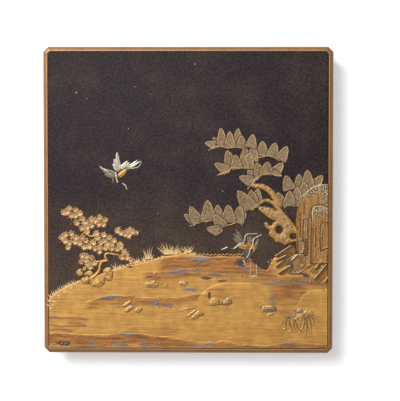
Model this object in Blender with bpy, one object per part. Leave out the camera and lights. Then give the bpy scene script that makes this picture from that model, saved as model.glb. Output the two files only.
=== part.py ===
"""Writing box: a shallow tray under an overlapping lid that lifts off.

The lid's top carries a landscape in low relief, with small round beads set into
it. The script is in metres with +Z up. The box stands on z = 0, centred on the
origin, and the top of the picture points to +Y.
"""

import math
import random

import bpy
import bmesh
from mathutils import Vector
from mathutils.geometry import delaunay_2d_cdt

MM = 0.001

# Sizes of the box, in millimetres until a mesh is made
LID_WIDTH = 226.5
LID_LENGTH = 240.0
PANEL_TOP = 45.0
LID_EDGE = 14.0
PLATE = 4.0
WALL = 4.0
SIDE_CLEARANCE = 0.6
TOUCH_GAP = 0.3
TRAY_FLOOR = 5.0
CORNER_CUT = 4.0
CORNER_SOFTENING = 0.6
SHOULDER = 3.4
FLAT_INSET = 5.2
NOTCH_WIDTH = 23.0
NOTCH_HEIGHT = 4.5

# Beads set into the picture
CORAL_RADIUS = 1.1
MALACHITE_RADIUS = 1.05
BEAD_FLATTENING = 0.7
BEAD_LIFT = 0.15
SOCKET_DEPTH = 1.2
SOCKET_MARGIN = 0.4
SOCKET_DRAFT = 0.15

# The picture is laid out on a squared sheet seen from above, its y down the sheet
SQUARE = 0.7853
SHEET_CENTRE = (188.2, 199.5)
PICTURE_MARGIN = 0.75
MERGE = 0.03

# Heights of the relief above the flat lacquer
GROUND_RISE = 0.3
BANK_RISE = 0.5
FOLIAGE_RISE = 0.75
TWIG_RISE = 0.85
TRUNK_RISE = 1.4
CRAG_RISE = 1.9
STONE_RISE = 1.3
LEAF_RISE = 0.7
STEM_RISE = 1.0
CRANE_RISE = 0.9

figures = []
beads = []


def spot(x, y):
    """Place on the lid, in millimetres from its centre, of a place on the squared sheet."""
    return Vector(((x - SHEET_CENTRE[0]) * SQUARE, (SHEET_CENTRE[1] - y) * SQUARE))


def kept_on_panel(place, margin=PICTURE_MARGIN):
    """The place, moved in where it would leave the flat part of the lid's top."""
    reach_x = LID_WIDTH / 2 - FLAT_INSET - margin
    reach_y = LID_LENGTH / 2 - FLAT_INSET - margin
    return Vector((max(-reach_x, min(reach_x, place.x)), max(-reach_y, min(reach_y, place.y))))


# Outlines of the relief's figures

def smooth_line(points, steps):
    """Catmull-Rom curve through the points, with the given steps between each two."""
    if len(points) == 2:
        return [points[0].lerp(points[1], k / steps) for k in range(steps + 1)]
    padded = [points[0] * 2 - points[1]] + points + [points[-1] * 2 - points[-2]]
    line = []
    for k in range(len(points) - 1):
        a, b, c, d = padded[k:k + 4]
        for step in range(steps):
            t = step / steps
            line.append(0.5 * (2 * b + (c - a) * t + (2 * a - 5 * b + 4 * c - d) * t ** 2
                               + (3 * b - a - 3 * c + d) * t ** 3))
    return line + [points[-1]]


def across_of(line, k):
    """Unit vector to the left of a line at its point k."""
    ahead = line[min(k + 1, len(line) - 1)] - line[max(k - 1, 0)]
    return Vector((-ahead.y, ahead.x)).normalized()


def raise_figure(outline, height, slope, crest):
    """Note a figure: its outline, how high it stands, how wide its sloping side is."""
    outline = [kept_on_panel(p) for p in outline]
    crest = [[kept_on_panel(p) for p in line] for line in crest]
    xs = [p.x for p in outline]
    ys = [p.y for p in outline]
    figures.append({"outline": outline, "height": height, "slope": slope, "crest": crest,
                    "box": (min(xs), max(xs), min(ys), max(ys))})


def stroke(places, width_at, height, steps=2, crown=0.0):
    """A band along a curve, such as a branch, a feather or a leaf, rounded across.

    A crown above zero is the share of the width that stays level along the middle.
    """
    line = smooth_line([spot(*place) for place in places], steps)
    last = len(line) - 1
    widths = [width_at(k / last) * SQUARE for k in range(last + 1)]
    left = [line[k] + across_of(line, k) * widths[k] / 2 for k in range(last + 1)]
    right = [line[k] - across_of(line, k) * widths[k] / 2 for k in range(last + 1)]
    start_cap = line[0] + (line[0] - line[1]).normalized() * widths[0] * 0.4
    end_cap = line[-1] + (line[-1] - line[-2]).normalized() * widths[-1] * 0.4
    pointed_start = widths[0] < 4 * MERGE
    pointed_end = widths[-1] < 4 * MERGE
    outline = [line[0]] if pointed_start else [right[0], start_cap, left[0]]
    outline += left[1:last]
    outline += [line[-1]] if pointed_end else [left[-1], end_cap, right[-1]]
    outline += right[last - 1:0:-1]
    if crown:
        crest = [p.lerp(q, 1 - crown) for p, q in zip(left, line)]
        crest += [p.lerp(q, 1 - crown) for p, q in zip(right[::-1], line[::-1])]
        crest.append(crest[0])
    else:
        crest = line[1:-1]
    raise_figure(outline, height, max(widths) / 2 * (1 - crown) * 0.85, [crest])


def tapered(start, end):
    """Width rule of a branch that runs evenly from one width to another."""
    return lambda t: start + (end - start) * t


def almond(width, fullness=0.8):
    """Width rule of a blade that is pointed at both ends."""
    return lambda t: width * math.sin(math.pi * t ** fullness) if 0 < t < 1 else 0.0


def lobed(width):
    """Width rule of a foliage lobe: broad where it grows, fullest past that, then a point."""
    return lambda t: width * math.sin(math.pi * (0.22 + 0.78 * t ** 1.15)) if t < 1 else 0.0


def blade(base, tip, width_at, height, bow=0.0):
    """A pointed feather or lobe from base to tip; bow bends its middle to the left."""
    a, b = Vector(base), Vector(tip)
    side = Vector((b.y - a.y, a.x - b.x))
    middle = (a + b) / 2 + side * bow
    stroke([a, middle, b], width_at, height, steps=3)


def drawn_in(outline, distance):
    """The outline moved inwards by a distance all round."""
    count = len(outline)
    area = sum(a.cross(b) for a, b in zip(outline, outline[1:] + outline[:1]))
    inwards = 1 if area > 0 else -1
    moved = []
    for k, point in enumerate(outline):
        before = (point - outline[k - 1]).normalized()
        after = (outline[(k + 1) % count] - point).normalized()
        normal = Vector((-before.y - after.y, before.x + after.x)).normalized() * inwards
        stretch = max(0.5, abs(normal.x * -before.y + normal.y * before.x))
        moved.append(point + normal * distance / stretch)
    return moved


def closed_figure(outline, height, slope, shrink):
    """A flat-topped or crowned figure whose crest is its own outline drawn inwards."""
    centre = sum(outline, Vector((0, 0))) / len(outline)
    crest = [centre.lerp(p, shrink) for p in outline]
    raise_figure(outline, height, slope, [crest + crest[:1]])


def stone(x, y, width, depth, turn, height, seed, sides=7):
    """A worn stone: an uneven round outline with a crowned top."""
    shape = random.Random(seed)
    centre = spot(x, y)
    heading = math.radians(turn)
    outline = []
    for k in range(sides):
        angle = 2 * math.pi * k / sides
        reach = SQUARE / 2 * shape.uniform(0.88, 1.08)
        local = Vector((width * reach * math.cos(angle), depth * reach * math.sin(angle)))
        turned = Vector((local.x * math.cos(heading) - local.y * math.sin(heading),
                         local.x * math.sin(heading) + local.y * math.cos(heading)))
        outline.append(centre + turned)
    closed_figure(outline, height, min(width, depth) * SQUARE * 0.25, 0.5)


def slab(foot, head, width, height):
    """A slanting slab of rock with square ends, seen from its broad side."""
    a, b = spot(*foot), spot(*head)
    along = (b - a).normalized()
    side = Vector((-along.y, along.x)) * width * SQUARE / 2
    corner = along * width * SQUARE * 0.2
    outline = [a + side, b - corner + side, b + side * 0.55, b - side * 0.55,
               b - corner - side, a - side]
    outline.reverse()
    closed_figure(outline, height, width * SQUARE * 0.14, 0.72)


def column(foot, head, width, height, seed):
    """A standing column of the crag, broken along its sides and blunt at its head."""
    shape = random.Random(seed)
    places = [Vector(foot).lerp(Vector(head), t) for t in (0.0, 0.35, 0.7, 0.92, 1.0)]
    widths = [width * shape.uniform(0.9, 1.0), width * shape.uniform(0.92, 1.08),
              width * shape.uniform(0.85, 1.0), width * 0.72, width * 0.35]
    line = [spot(*place) for place in places]
    left = [line[k] + across_of(line, k) * widths[k] * SQUARE / 2 for k in range(5)]
    right = [line[k] - across_of(line, k) * widths[k] * SQUARE / 2 for k in range(5)]
    crest_left = [line[k].lerp(left[k], 0.6) for k in range(4)]
    crest_right = [line[k].lerp(right[k], 0.6) for k in range(4)]
    outline = right + left[::-1]
    raise_figure(outline, height, width * SQUARE * 0.16, [crest_right + crest_left[::-1]])


def leaf_star(x, y, radius, turn, height):
    """A pointed leaf of the berry bush: five tips around a raised middle."""
    tips = 5
    centre = spot(x, y)
    outline = []
    for k in range(2 * tips):
        angle = math.radians(turn) + math.pi * k / tips
        reach = radius * SQUARE * (1.0 if k % 2 == 0 else 0.62)
        outline.append(centre + Vector((math.cos(angle), math.sin(angle))) * reach)
    raise_figure(outline, height, radius * SQUARE * 0.45, [[centre, centre.lerp(outline[0], 0.4)]])


def terrace(places, height, slope):
    """A level of the ground, whose given places run round its outline."""
    line = [kept_on_panel(spot(*place)) for place in places]
    crest = drawn_in(line, slope)
    raise_figure(line, height, slope, [crest + crest[:1]])


def foliage_fan(first, last, lobes, angles, length, ease=0.5):
    """Pine foliage: pointed lobes fanned out above a row, the longest in the middle."""
    start, end = Vector(first), Vector(last)
    for k in range(lobes):
        share = k / max(1, lobes - 1)
        base = start.lerp(end, share)
        angle = math.radians(angles[0] + (angles[1] - angles[0]) * share ** ease)
        reach = length * (0.64 + 0.36 * math.sin(math.pi * share)) * (1.06 if k % 2 == 0 else 0.92)
        tip = base + Vector((math.cos(angle), -math.sin(angle))) * reach
        blade(base, tip, lobed(5.4 + 0.24 * reach), FOLIAGE_RISE + 0.04 * (k % 3))


# Groups of the picture

def lay_ground():
    """Level gold ground with its sloping far edge, and the banks that stand a little higher."""
    far_edge = [(50, 297), (62, 287), (76, 280), (95, 274), (113, 268), (135, 262.5), (155, 257.5),
                (172, 253), (186, 250.5), (198, 254), (240, 254), (262, 262), (280, 262), (326, 248)]
    terrace(far_edge + [(326, 346), (50, 346)], GROUND_RISE, 0.8)
    front_bank = [(206, 290), (215, 283.5), (240, 282), (270, 282.5), (276, 290), (272, 303),
                  (288, 312), (322, 296), (326, 300), (326, 331), (250, 338), (205, 336),
                  (150, 336), (95, 333), (60, 318), (52, 312), (52, 303), (80, 300), (100, 309),
                  (150, 312), (196, 306)]
    terrace(front_bank, BANK_RISE, 0.7)
    left_bank = [(60, 292), (90, 284), (130, 268), (152, 262), (164, 262), (158, 276),
                 (185, 290), (150, 294), (100, 294), (74, 299)]
    terrace(left_bank, BANK_RISE, 0.7)


def grow_pine():
    """Pine: foliage fans on their twigs, the bent trunk, its arched branch and its roots."""
    foliage_fan((216, 145), (249, 146), 7, (162, 70), 18)
    foliage_fan((260, 155), (279, 157.5), 3, (88, 55), 15, ease=1)
    foliage_fan((245, 160), (256, 157), 3, (104, 78), 13, ease=1)
    foliage_fan((226, 168), (249, 165), 5, (153, 76), 16)
    foliage_fan((250, 180), (277, 172.5), 5, (155, 62), 15, ease=1)
    foliage_fan((288, 187), (316, 185), 5, (106, 52), 16, ease=1)
    foliage_fan((282, 205), (299, 197), 3, (112, 92), 14, ease=1)
    foliage_fan((249, 207), (261, 200), 3, (128, 98), 17, ease=1)
    foliage_fan((195, 219), (210, 217.5), 4, (153, 92), 15)
    foliage_fan((217, 220), (242, 219), 4, (96, 58), 17, ease=1)
    foliage_fan((219, 227), (234, 221), 3, (178, 110), 11, ease=1)

    twigs = [[(208, 149.7), (216, 146), (229, 146.5), (243, 148)],
             [(251, 165), (253, 159), (265, 154.8), (281, 161)],
             [(218, 174.5), (228, 170.4), (235, 165.6), (251, 166)],
             [(257, 177), (266, 171.5), (274, 171.3), (281.5, 175)],
             [(190, 225), (197, 221.8), (212, 218.5)],
             [(215.5, 234.4), (221, 227.5), (230, 223), (243, 222)],
             [(283, 207), (288, 204), (293, 202)]]
    for twig in twigs:
        stroke(twig, tapered(1.6, 1.9), TWIG_RISE)

    stroke([(250.5, 183.5), (258, 185), (267, 188), (273, 195), (281, 207)], tapered(5.0, 6.5),
           TRUNK_RISE * 0.85, crown=0.4)
    stroke([(250, 182.5), (257, 178.5), (268, 174.7)], tapered(4.6, 2.6), TRUNK_RISE * 0.8)
    stroke([(249.5, 208), (258, 201.5), (266, 198.5), (274, 201), (283, 213)], tapered(3.2, 6.5),
           TRUNK_RISE * 0.95, crown=0.4)
    stroke([(260.5, 207.8), (267, 210), (276, 214), (285, 218.5), (296, 228)], tapered(7.0, 11.0),
           TRUNK_RISE, crown=0.45)
    stroke([(266, 222.5), (270, 230.5), (276, 236.5), (285, 240.5), (298, 238.5)],
           tapered(5.5, 8.5), TRUNK_RISE * 0.9, crown=0.4)
    stroke([(272.5, 223.5), (279, 222), (285.5, 226), (287.5, 236.5)], tapered(6.0, 7.5),
           TRUNK_RISE * 0.9, crown=0.4)


def build_crag():
    """Crag of standing columns at the picture's right edge, with slanting slabs at its foot."""
    mass = [(298, 262), (294.8, 224), (297, 204), (303, 193.5), (313, 185), (326, 183), (326, 262)]
    terrace(mass, CRAG_RISE * 0.6, 1.0)
    column((303, 262), (300, 198), 11, CRAG_RISE * 0.72, 11)
    column((311, 264), (309, 188), 13, CRAG_RISE * 0.82, 12)
    column((321, 262), (319, 183), 12, CRAG_RISE, 13)
    column((316.5, 262), (317, 205), 9, CRAG_RISE * 1.08, 14)
    column((306, 262), (304, 217), 5, CRAG_RISE * 0.86, 15)
    slab((274, 254.5), (290.5, 244), 5, STONE_RISE * 0.9)
    slab((275, 259.5), (286, 253), 4, STONE_RISE * 0.8)
    slab((277, 265), (297, 253.5), 6.5, STONE_RISE)
    slab((278.5, 271.5), (291.5, 264), 8.5, STONE_RISE * 1.1)
    stone(299, 258, 15, 11, 10, STONE_RISE * 1.2, 16)
    slab((314.5, 268), (325, 254), 4.5, STONE_RISE)
    slab((315.5, 279), (325.5, 264), 8.5, STONE_RISE * 1.15)


def grow_bush():
    """Berry bush: clusters of pointed leaves on a stem that bends up from the stones."""
    clusters = [(67, 210, 4, 5.0), (80, 220, 4, 5.2), (97, 219, 5, 5.6), (66, 241, 4, 5.2),
                (80, 240, 3, 5.4), (97, 244, 5, 5.6), (113, 240, 4, 5.6), (126, 231, 4, 5.2),
                (125, 253, 3, 5.0), (86, 256, 3, 4.8), (91, 267, 2, 4.2)]
    for index, (x, y, leaves, radius) in enumerate(clusters):
        spread = random.Random(100 + index)
        for k in range(leaves):
            across = (k - (leaves - 1) / 2) * 4.7
            lift = 3.0 if k % 2 else -3.0
            leaf_star(x + across, y + lift + spread.uniform(-1.0, 1.0), radius,
                      spread.uniform(0, 72), LEAF_RISE + 0.05 * (k % 3))
    stroke([(85, 231), (88, 234), (93, 235.4), (96, 233.6)], tapered(2.2, 3.0), STEM_RISE)
    stroke([(118, 254.5), (111, 252.5), (106, 252.5), (106.5, 258)], tapered(1.8, 3.0), STEM_RISE)
    stroke([(107, 257), (101.5, 261.5), (100.5, 268), (93, 275.5)], tapered(3.6, 4.4),
           STEM_RISE * 1.1)
    stone(109, 272.5, 10, 13, -8, STONE_RISE, 21)
    stone(99, 280.4, 16, 9, 12, STONE_RISE * 0.95, 22)
    stone(86, 279.5, 11, 7, 5, STONE_RISE * 0.8, 23)
    stone(80, 271, 8, 9, 20, STONE_RISE * 0.75, 24)
    stone(86, 267.5, 6, 6, 0, STONE_RISE * 0.85, 25)


def lay_stones():
    """Stones scattered over the ground."""
    stone(151.7, 283, 15, 7, 8, STONE_RISE * 0.8, 31)
    stone(166, 284.3, 5, 3.4, 0, STONE_RISE * 0.55, 32)
    stone(184, 282.5, 9, 4.6, -6, STONE_RISE * 0.7, 33)
    stone(216, 300, 11, 6.6, 8, STONE_RISE * 0.85, 34)
    stone(228, 300, 8, 6.6, 0, STONE_RISE * 0.8, 35)
    stone(268, 307.5, 16, 7, 4, STONE_RISE * 0.85, 36)
    for k in range(3):
        slab((123 + 7 * k, 309.5 + k), (133 + 6 * k, 300 + 3 * k), 4.4, STONE_RISE * 0.75)
    slab((180, 306.5), (196, 303.5), 4, STONE_RISE * 0.6)
    slab((186, 315), (197, 307.5), 4.4, STONE_RISE * 0.75)
    slab((191.5, 318), (203.5, 309.5), 4.6, STONE_RISE * 0.8)
    stone(301, 314, 11, 8, 0, STONE_RISE * 0.75, 37)
    for k in range(6):
        angle = math.pi * (1.05 + k / 5 * 0.9)
        x = 300 + 13 * math.cos(angle)
        y = 322 - 7 * math.sin(angle)
        stone(x, y, 7, 5, 60 * k, STONE_RISE * 0.6, 40 + k)


def draw_flying_crane():
    """Crane in flight: two raised wings, one wing swept to the left, body, tail and neck."""
    blade((118.8, 173), (118.4, 151), almond(8.0, 0.7), CRANE_RISE, bow=0.05)
    blade((120, 173), (138, 159.5), almond(7.0), CRANE_RISE * 0.9, bow=-0.08)
    blade((117.5, 174.5), (99.8, 164.8), almond(6.5, 0.7), CRANE_RISE * 0.85, bow=-0.06)
    blade((117, 177), (131, 167.2), almond(4.8), CRANE_RISE * 1.1)
    stroke([(129, 168.4), (135, 167.2), (140, 165), (142.4, 160.6)], tapered(2.0, 1.0),
           CRANE_RISE * 0.7)
    stroke([(117.4, 174), (117.3, 178), (118.2, 183.4)], tapered(2.6, 1.4), CRANE_RISE)
    stroke([(121.5, 181.6), (125.4, 184.6), (127.8, 188)], tapered(1.4, 1.2), CRANE_RISE * 0.6)


def draw_standing_crane():
    """Crane bending forward on the ground: neck, body, folded wings, tail and two legs."""
    blade((248, 250), (235.5, 228), almond(7.5, 1.1), CRANE_RISE * 0.8, bow=0.12)
    blade((240, 241.5), (257, 253), almond(11.0), CRANE_RISE, bow=0.05)
    stroke([(220.8, 250.3), (226.5, 246), (233.8, 247.3), (240.4, 242.2), (246, 241)],
           tapered(1.4, 2.8), CRANE_RISE * 1.1)
    stroke([(244.5, 241), (245, 235.4), (248.5, 232.6), (259.5, 231.8)], tapered(2.0, 1.4),
           CRANE_RISE * 1.2)
    stroke([(260.5, 233.4), (253.8, 238), (253.3, 243.4), (246.5, 256.5)], tapered(1.4, 2.0),
           CRANE_RISE * 1.3)
    blade((248, 250), (242.4, 265), almond(6.0), CRANE_RISE * 0.8)
    stroke([(254, 250), (256.2, 257), (256.6, 274.5)], tapered(3.0, 1.2), CRANE_RISE * 0.9)
    stroke([(252.6, 261), (253, 274), (249.6, 275)], tapered(1.3, 1.3), CRANE_RISE * 0.8)


def set_beads():
    """Places of the coral and malachite beads, most of them in rows along the ground."""
    coral = [(195, 269), (222.5, 270), (241.5, 274.6), (250.7, 258.5), (271.6, 258.8),
             (279, 279.6), (293, 275.4), (304.6, 271), (309.6, 280.4), (324, 287.6),
             (121.8, 303.2), (156.5, 302.6), (170, 305.4), (53.4, 340.6), (62, 344.8),
             (105.6, 344.8), (110.6, 342.6), (127, 344.8), (138.4, 345), (155.8, 344.8)]
    malachite = [(198, 271.2), (231, 275.6), (245.6, 275.4), (268.4, 260.6), (289.4, 278.6),
                 (308.6, 272.6), (305.8, 279.4), (320.6, 286), (118.6, 305.6), (159.4, 304.6),
                 (55.2, 344.4), (66, 342.8), (141.4, 342.8), (159.4, 344.2)]
    for name, places, radius in (("coral_bead", coral, CORAL_RADIUS),
                                 ("malachite_bead", malachite, MALACHITE_RADIUS)):
        for index, place in enumerate(places):
            margin = radius + SOCKET_MARGIN + SOCKET_DRAFT + PICTURE_MARGIN
            beads.append({"name": f"{name}_{index + 1:02d}", "kind": name, "radius": radius,
                          "centre": kept_on_panel(spot(*place), margin)})


# Height of the relief at a place

def edge_distance(point, outline):
    """Distance from a point to a closed outline."""
    best = math.inf
    for k, a in enumerate(outline):
        b = outline[(k + 1) % len(outline)]
        run = b - a
        share = max(0.0, min(1.0, (point - a).dot(run) / run.length_squared))
        best = min(best, (a + run * share - point).length)
    return best


def is_inside(point, outline):
    """Whether a point lies within a closed outline."""
    inside = False
    for k, a in enumerate(outline):
        b = outline[(k + 1) % len(outline)]
        if (a.y > point.y) != (b.y > point.y):
            if point.x < a.x + (b.x - a.x) * (point.y - a.y) / (b.y - a.y):
                inside = not inside
    return inside


def relief_at(point):
    """Height above the flat lacquer: the highest of the figures that cover the place."""
    level = 0.0
    for figure in figures:
        low_x, high_x, low_y, high_y = figure["box"]
        if not (low_x <= point.x <= high_x and low_y <= point.y <= high_y):
            continue
        if is_inside(point, figure["outline"]):
            share = min(1.0, edge_distance(point, figure["outline"]) / figure["slope"])
            level = max(level, figure["height"] * math.sin(share * math.pi / 2))
    return level


def socket_radii(bead):
    """Radius of a bead's socket at its floor and at its mouth."""
    floor = bead["radius"] + SOCKET_MARGIN
    return floor, floor + SOCKET_DRAFT


def sunk_into_sockets(point, level):
    """Level of the relief once the sockets for the beads are cut."""
    for bead in beads:
        floor, mouth = socket_radii(bead)
        reach = (point - bead["centre"]).length
        if reach < mouth - MERGE / 2:
            share = min(1.0, (mouth - reach) / (mouth - floor))
            level = min(level, bead["level"] - SOCKET_DEPTH * share)
    return level


# Rings of the box

def ring(inset, height, cut):
    """Rectangle with cut and softened corners, as 16 points, drawn in from the lid's outline."""
    half_x = LID_WIDTH / 2 - inset
    half_y = LID_LENGTH / 2 - inset
    soft = min(CORNER_SOFTENING, cut * 0.3)
    slant = soft / math.sqrt(2)
    corner = [(half_x, half_y - cut - soft), (half_x - slant, half_y - cut + slant),
              (half_x - cut + slant, half_y - slant), (half_x - cut - soft, half_y)]
    points = []
    for sign_x, sign_y in ((1, 1), (-1, 1), (-1, -1), (1, -1)):
        quarter = [Vector((sign_x * x, sign_y * y, height)) for x, y in corner]
        points += quarter if sign_x * sign_y > 0 else quarter[::-1]
    return points


def mitred_cut(inset):
    """Corner cut that is left when the lid's outline is drawn in."""
    return max(1.0, CORNER_CUT - inset * (2 - math.sqrt(2)))


def add_ring(mesh, inset, height):
    """Add one ring's points to a mesh, in metres."""
    return [mesh.verts.new(p * MM) for p in ring(inset, height, mitred_cut(inset))]


def bridge(mesh, rings):
    """Join each ring to the next with a band of faces."""
    for upper, lower in zip(rings, rings[1:]):
        for k in range(len(upper)):
            after = (k + 1) % len(upper)
            mesh.faces.new((upper[k], lower[k], lower[after], upper[after]))


def finish(mesh, name, colour, roughness, metallic):
    """Make an object from a mesh, with its own material."""
    bmesh.ops.remove_doubles(mesh, verts=mesh.verts, dist=MERGE * MM / 4)
    bmesh.ops.triangulate(mesh, faces=mesh.faces)
    bmesh.ops.recalc_face_normals(mesh, faces=mesh.faces)
    data = bpy.data.meshes.new(name)
    mesh.to_mesh(data)
    mesh.free()
    piece = bpy.data.objects.new(name, data)
    bpy.context.collection.objects.link(piece)
    finish_material = bpy.data.materials.new(name + "_finish")
    finish_material.use_nodes = True
    shader = finish_material.node_tree.nodes["Principled BSDF"]
    shader.inputs["Base Color"].default_value = (*colour, 1.0)
    shader.inputs["Roughness"].default_value = roughness
    shader.inputs["Metallic"].default_value = metallic
    data.materials.append(finish_material)
    return piece


def relief_surface(mesh, border):
    """The lid's top within its flat border, with every figure's outline as edges."""
    points = [p.xy for p in ring(FLAT_INSET, 0.0, mitred_cut(FLAT_INSET))]
    edges = [(k, (k + 1) % len(points)) for k in range(len(points))]

    def add_line(line, closed):
        first = len(points)
        points.extend(line)
        edges.extend((first + k, first + k + 1) for k in range(len(line) - 1))
        if closed:
            edges.append((first + len(line) - 1, first))

    for figure in figures:
        add_line(figure["outline"], True)
        for crest in figure["crest"]:
            add_line(crest, False)
    sides = 6
    for bead in beads:
        for radius in socket_radii(bead):
            turns = [2 * math.pi * k / sides for k in range(sides)]
            add_line([bead["centre"] + Vector((math.cos(a), math.sin(a))) * radius for a in turns],
                     True)
    flat_points, _, triangles, _, _, _ = delaunay_2d_cdt(points, edges, [], 0, MERGE)
    placed = []
    for point in flat_points:
        on_border = min((b.co.xy / MM - point).length for b in border) < MERGE
        level = 0.0 if on_border else sunk_into_sockets(point, relief_at(point))
        placed.append(mesh.verts.new(Vector((point.x, point.y, PANEL_TOP + level)) * MM))
    for triangle in triangles:
        mesh.faces.new([placed[k] for k in triangle])


def build_lid():
    """Lid: relief top, rolled edge, groove, rounded shoulder, walls and underside in one solid."""
    shoulder_top = PANEL_TOP - 0.2
    outer = [(FLAT_INSET, PANEL_TOP), (4.7, PANEL_TOP - 0.08), (4.35, PANEL_TOP - 0.3),
             (4.15, PANEL_TOP - 0.6), (3.8, PANEL_TOP - 0.6), (3.55, PANEL_TOP - 0.25)]
    for k in range(5):
        angle = math.pi / 2 * (1 - k / 4)
        inset = SHOULDER * (1 - math.cos(angle))
        outer.append((inset, shoulder_top - SHOULDER * (1 - math.sin(angle))))
    inner = [(0.0, LID_EDGE + 0.6), (0.5, LID_EDGE), (WALL - 0.5, LID_EDGE), (WALL, LID_EDGE + 0.4)]
    ceiling = PANEL_TOP - PLATE
    inner += [(WALL, ceiling - 0.6), (WALL + 0.2, ceiling - 0.2), (WALL + 0.6, ceiling)]
    mesh = bmesh.new()
    rings = [add_ring(mesh, inset, height) for inset, height in outer + inner]
    bridge(mesh, rings)
    mesh.faces.new(rings[-1][::-1])
    relief_surface(mesh, rings[0])
    lid = finish(mesh, "lid", (0.035, 0.024, 0.026), 0.32, 0.0)
    cut_finger_notches(lid)
    return lid


def cut_finger_notches(lid):
    """Shallow arcs in the lower edge of the two long walls, to lift the lid by."""
    radius = ((NOTCH_WIDTH / 2) ** 2 + NOTCH_HEIGHT ** 2) / (2 * NOTCH_HEIGHT)
    bpy.ops.mesh.primitive_cylinder_add(
        vertices=48, radius=radius * MM, depth=(LID_WIDTH + 40) * MM,
        location=(0, 0, (LID_EDGE + NOTCH_HEIGHT - radius) * MM), rotation=(0, math.pi / 2, 0))
    cutter = bpy.context.object
    cutter.name = "finger_notch_cutter"
    cutter.hide_render = True
    cutter.display_type = "WIRE"
    cut = lid.modifiers.new("finger_notches", "BOOLEAN")
    cut.operation = "DIFFERENCE"
    cut.solver = "EXACT"
    cut.object = cutter


def build_tray():
    """Tray: flat underside, walls of true thickness and a rounded rim that carries the lid."""
    outer = WALL + SIDE_CLEARANCE
    inner = outer + WALL
    rim = PANEL_TOP - PLATE - TOUCH_GAP
    profile = [(outer + 1.0, 0.0), (outer, 1.0), (outer, rim - 0.8), (outer + 0.6, rim),
               (inner - 0.6, rim), (inner, rim - 0.6), (inner, TRAY_FLOOR + 1.5),
               (inner + 0.4, TRAY_FLOOR + 0.5), (inner + 1.6, TRAY_FLOOR)]
    mesh = bmesh.new()
    rings = [add_ring(mesh, inset, height) for inset, height in profile]
    bridge(mesh, rings)
    mesh.faces.new(rings[0])
    mesh.faces.new(rings[-1][::-1])
    return finish(mesh, "tray", (0.03, 0.021, 0.02), 0.36, 0.0)


def build_bead(bead):
    """One bead: a small flattened ball that stands half out of its socket."""
    colours = {"coral_bead": (0.62, 0.09, 0.05), "malachite_bead": (0.04, 0.36, 0.2)}
    mesh = bmesh.new()
    bmesh.ops.create_uvsphere(mesh, u_segments=6, v_segments=3, radius=bead["radius"] * MM)
    bmesh.ops.scale(mesh, vec=(1, 1, BEAD_FLATTENING), verts=mesh.verts)
    x, y = bead["centre"] * MM
    height = (PANEL_TOP + bead["level"] + BEAD_LIFT) * MM
    bmesh.ops.translate(mesh, vec=(x, y, height), verts=mesh.verts)
    piece = finish(mesh, bead["name"], colours[bead["kind"]], 0.2, 0.0)
    piece.data.shade_smooth()
    return piece


for leftover in list(bpy.data.objects):
    bpy.data.objects.remove(leftover, do_unlink=True)

lay_ground()
grow_pine()
build_crag()
grow_bush()
lay_stones()
draw_flying_crane()
draw_standing_crane()
set_beads()
for bead in beads:
    bead["level"] = relief_at(bead["centre"])
build_tray()
build_lid()
for bead in beads:
    build_bead(bead)
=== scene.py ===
# %% [markdown]
# A lacquered writing box, seen from above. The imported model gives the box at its
# real size: a tray, a lid that lifts off, and small beads set into the lid. This
# lesson dresses it: a smooth lid with a gold shoulder, the sprinkled lacquer, and
# the picture on the lid, which a lacquerer builds up in layers and dusts with metal
# powder. Everything is in metres, and the picture is laid out on a squared sheet.

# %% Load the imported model
import math
import random

import bpy
import numpy as np
from mathutils import Matrix, Vector, noise


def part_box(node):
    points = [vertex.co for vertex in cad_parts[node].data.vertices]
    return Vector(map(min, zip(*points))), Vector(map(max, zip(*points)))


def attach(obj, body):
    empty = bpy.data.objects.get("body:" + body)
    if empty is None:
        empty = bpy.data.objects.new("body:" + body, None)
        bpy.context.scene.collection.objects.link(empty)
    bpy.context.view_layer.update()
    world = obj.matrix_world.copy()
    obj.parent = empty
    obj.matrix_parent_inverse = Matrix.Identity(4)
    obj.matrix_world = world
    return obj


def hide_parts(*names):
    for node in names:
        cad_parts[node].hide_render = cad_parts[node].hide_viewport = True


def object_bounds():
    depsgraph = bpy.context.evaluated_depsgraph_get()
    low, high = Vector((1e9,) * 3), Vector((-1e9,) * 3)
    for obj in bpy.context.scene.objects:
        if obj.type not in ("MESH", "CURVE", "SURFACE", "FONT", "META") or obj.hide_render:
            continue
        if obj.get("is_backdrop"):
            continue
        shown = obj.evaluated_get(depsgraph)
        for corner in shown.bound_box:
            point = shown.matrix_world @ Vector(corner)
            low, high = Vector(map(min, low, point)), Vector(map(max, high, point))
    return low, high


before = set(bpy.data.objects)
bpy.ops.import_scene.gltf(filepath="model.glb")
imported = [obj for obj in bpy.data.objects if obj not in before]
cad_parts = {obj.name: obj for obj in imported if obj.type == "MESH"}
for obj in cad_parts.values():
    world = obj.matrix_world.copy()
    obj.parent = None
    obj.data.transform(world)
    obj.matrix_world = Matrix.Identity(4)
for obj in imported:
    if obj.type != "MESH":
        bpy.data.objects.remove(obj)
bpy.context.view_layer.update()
lid_low, lid_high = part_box("lid")
tray_low, tray_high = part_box("tray")

# %% [markdown]
# The lid's flat top lies a little under the highest rock, so its height is a named
# value, as in the model's source. A place in the picture is given on the squared
# sheet, whose y runs down towards the front of the box, and spot turns it into metres.

# %% The squared sheet and small helpers
MM = 0.001
SQUARE = 0.7853 * MM
SHEET_CENTRE = (188.2, 199.5)
PANEL_TOP = 45 * MM
SUNK = 0.5 * MM


def spot(x, y):
    """Metres across and along the lid, from a place on the squared sheet."""
    return (x - SHEET_CENTRE[0]) * SQUARE, (SHEET_CENTRE[1] - y) * SQUARE


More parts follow.
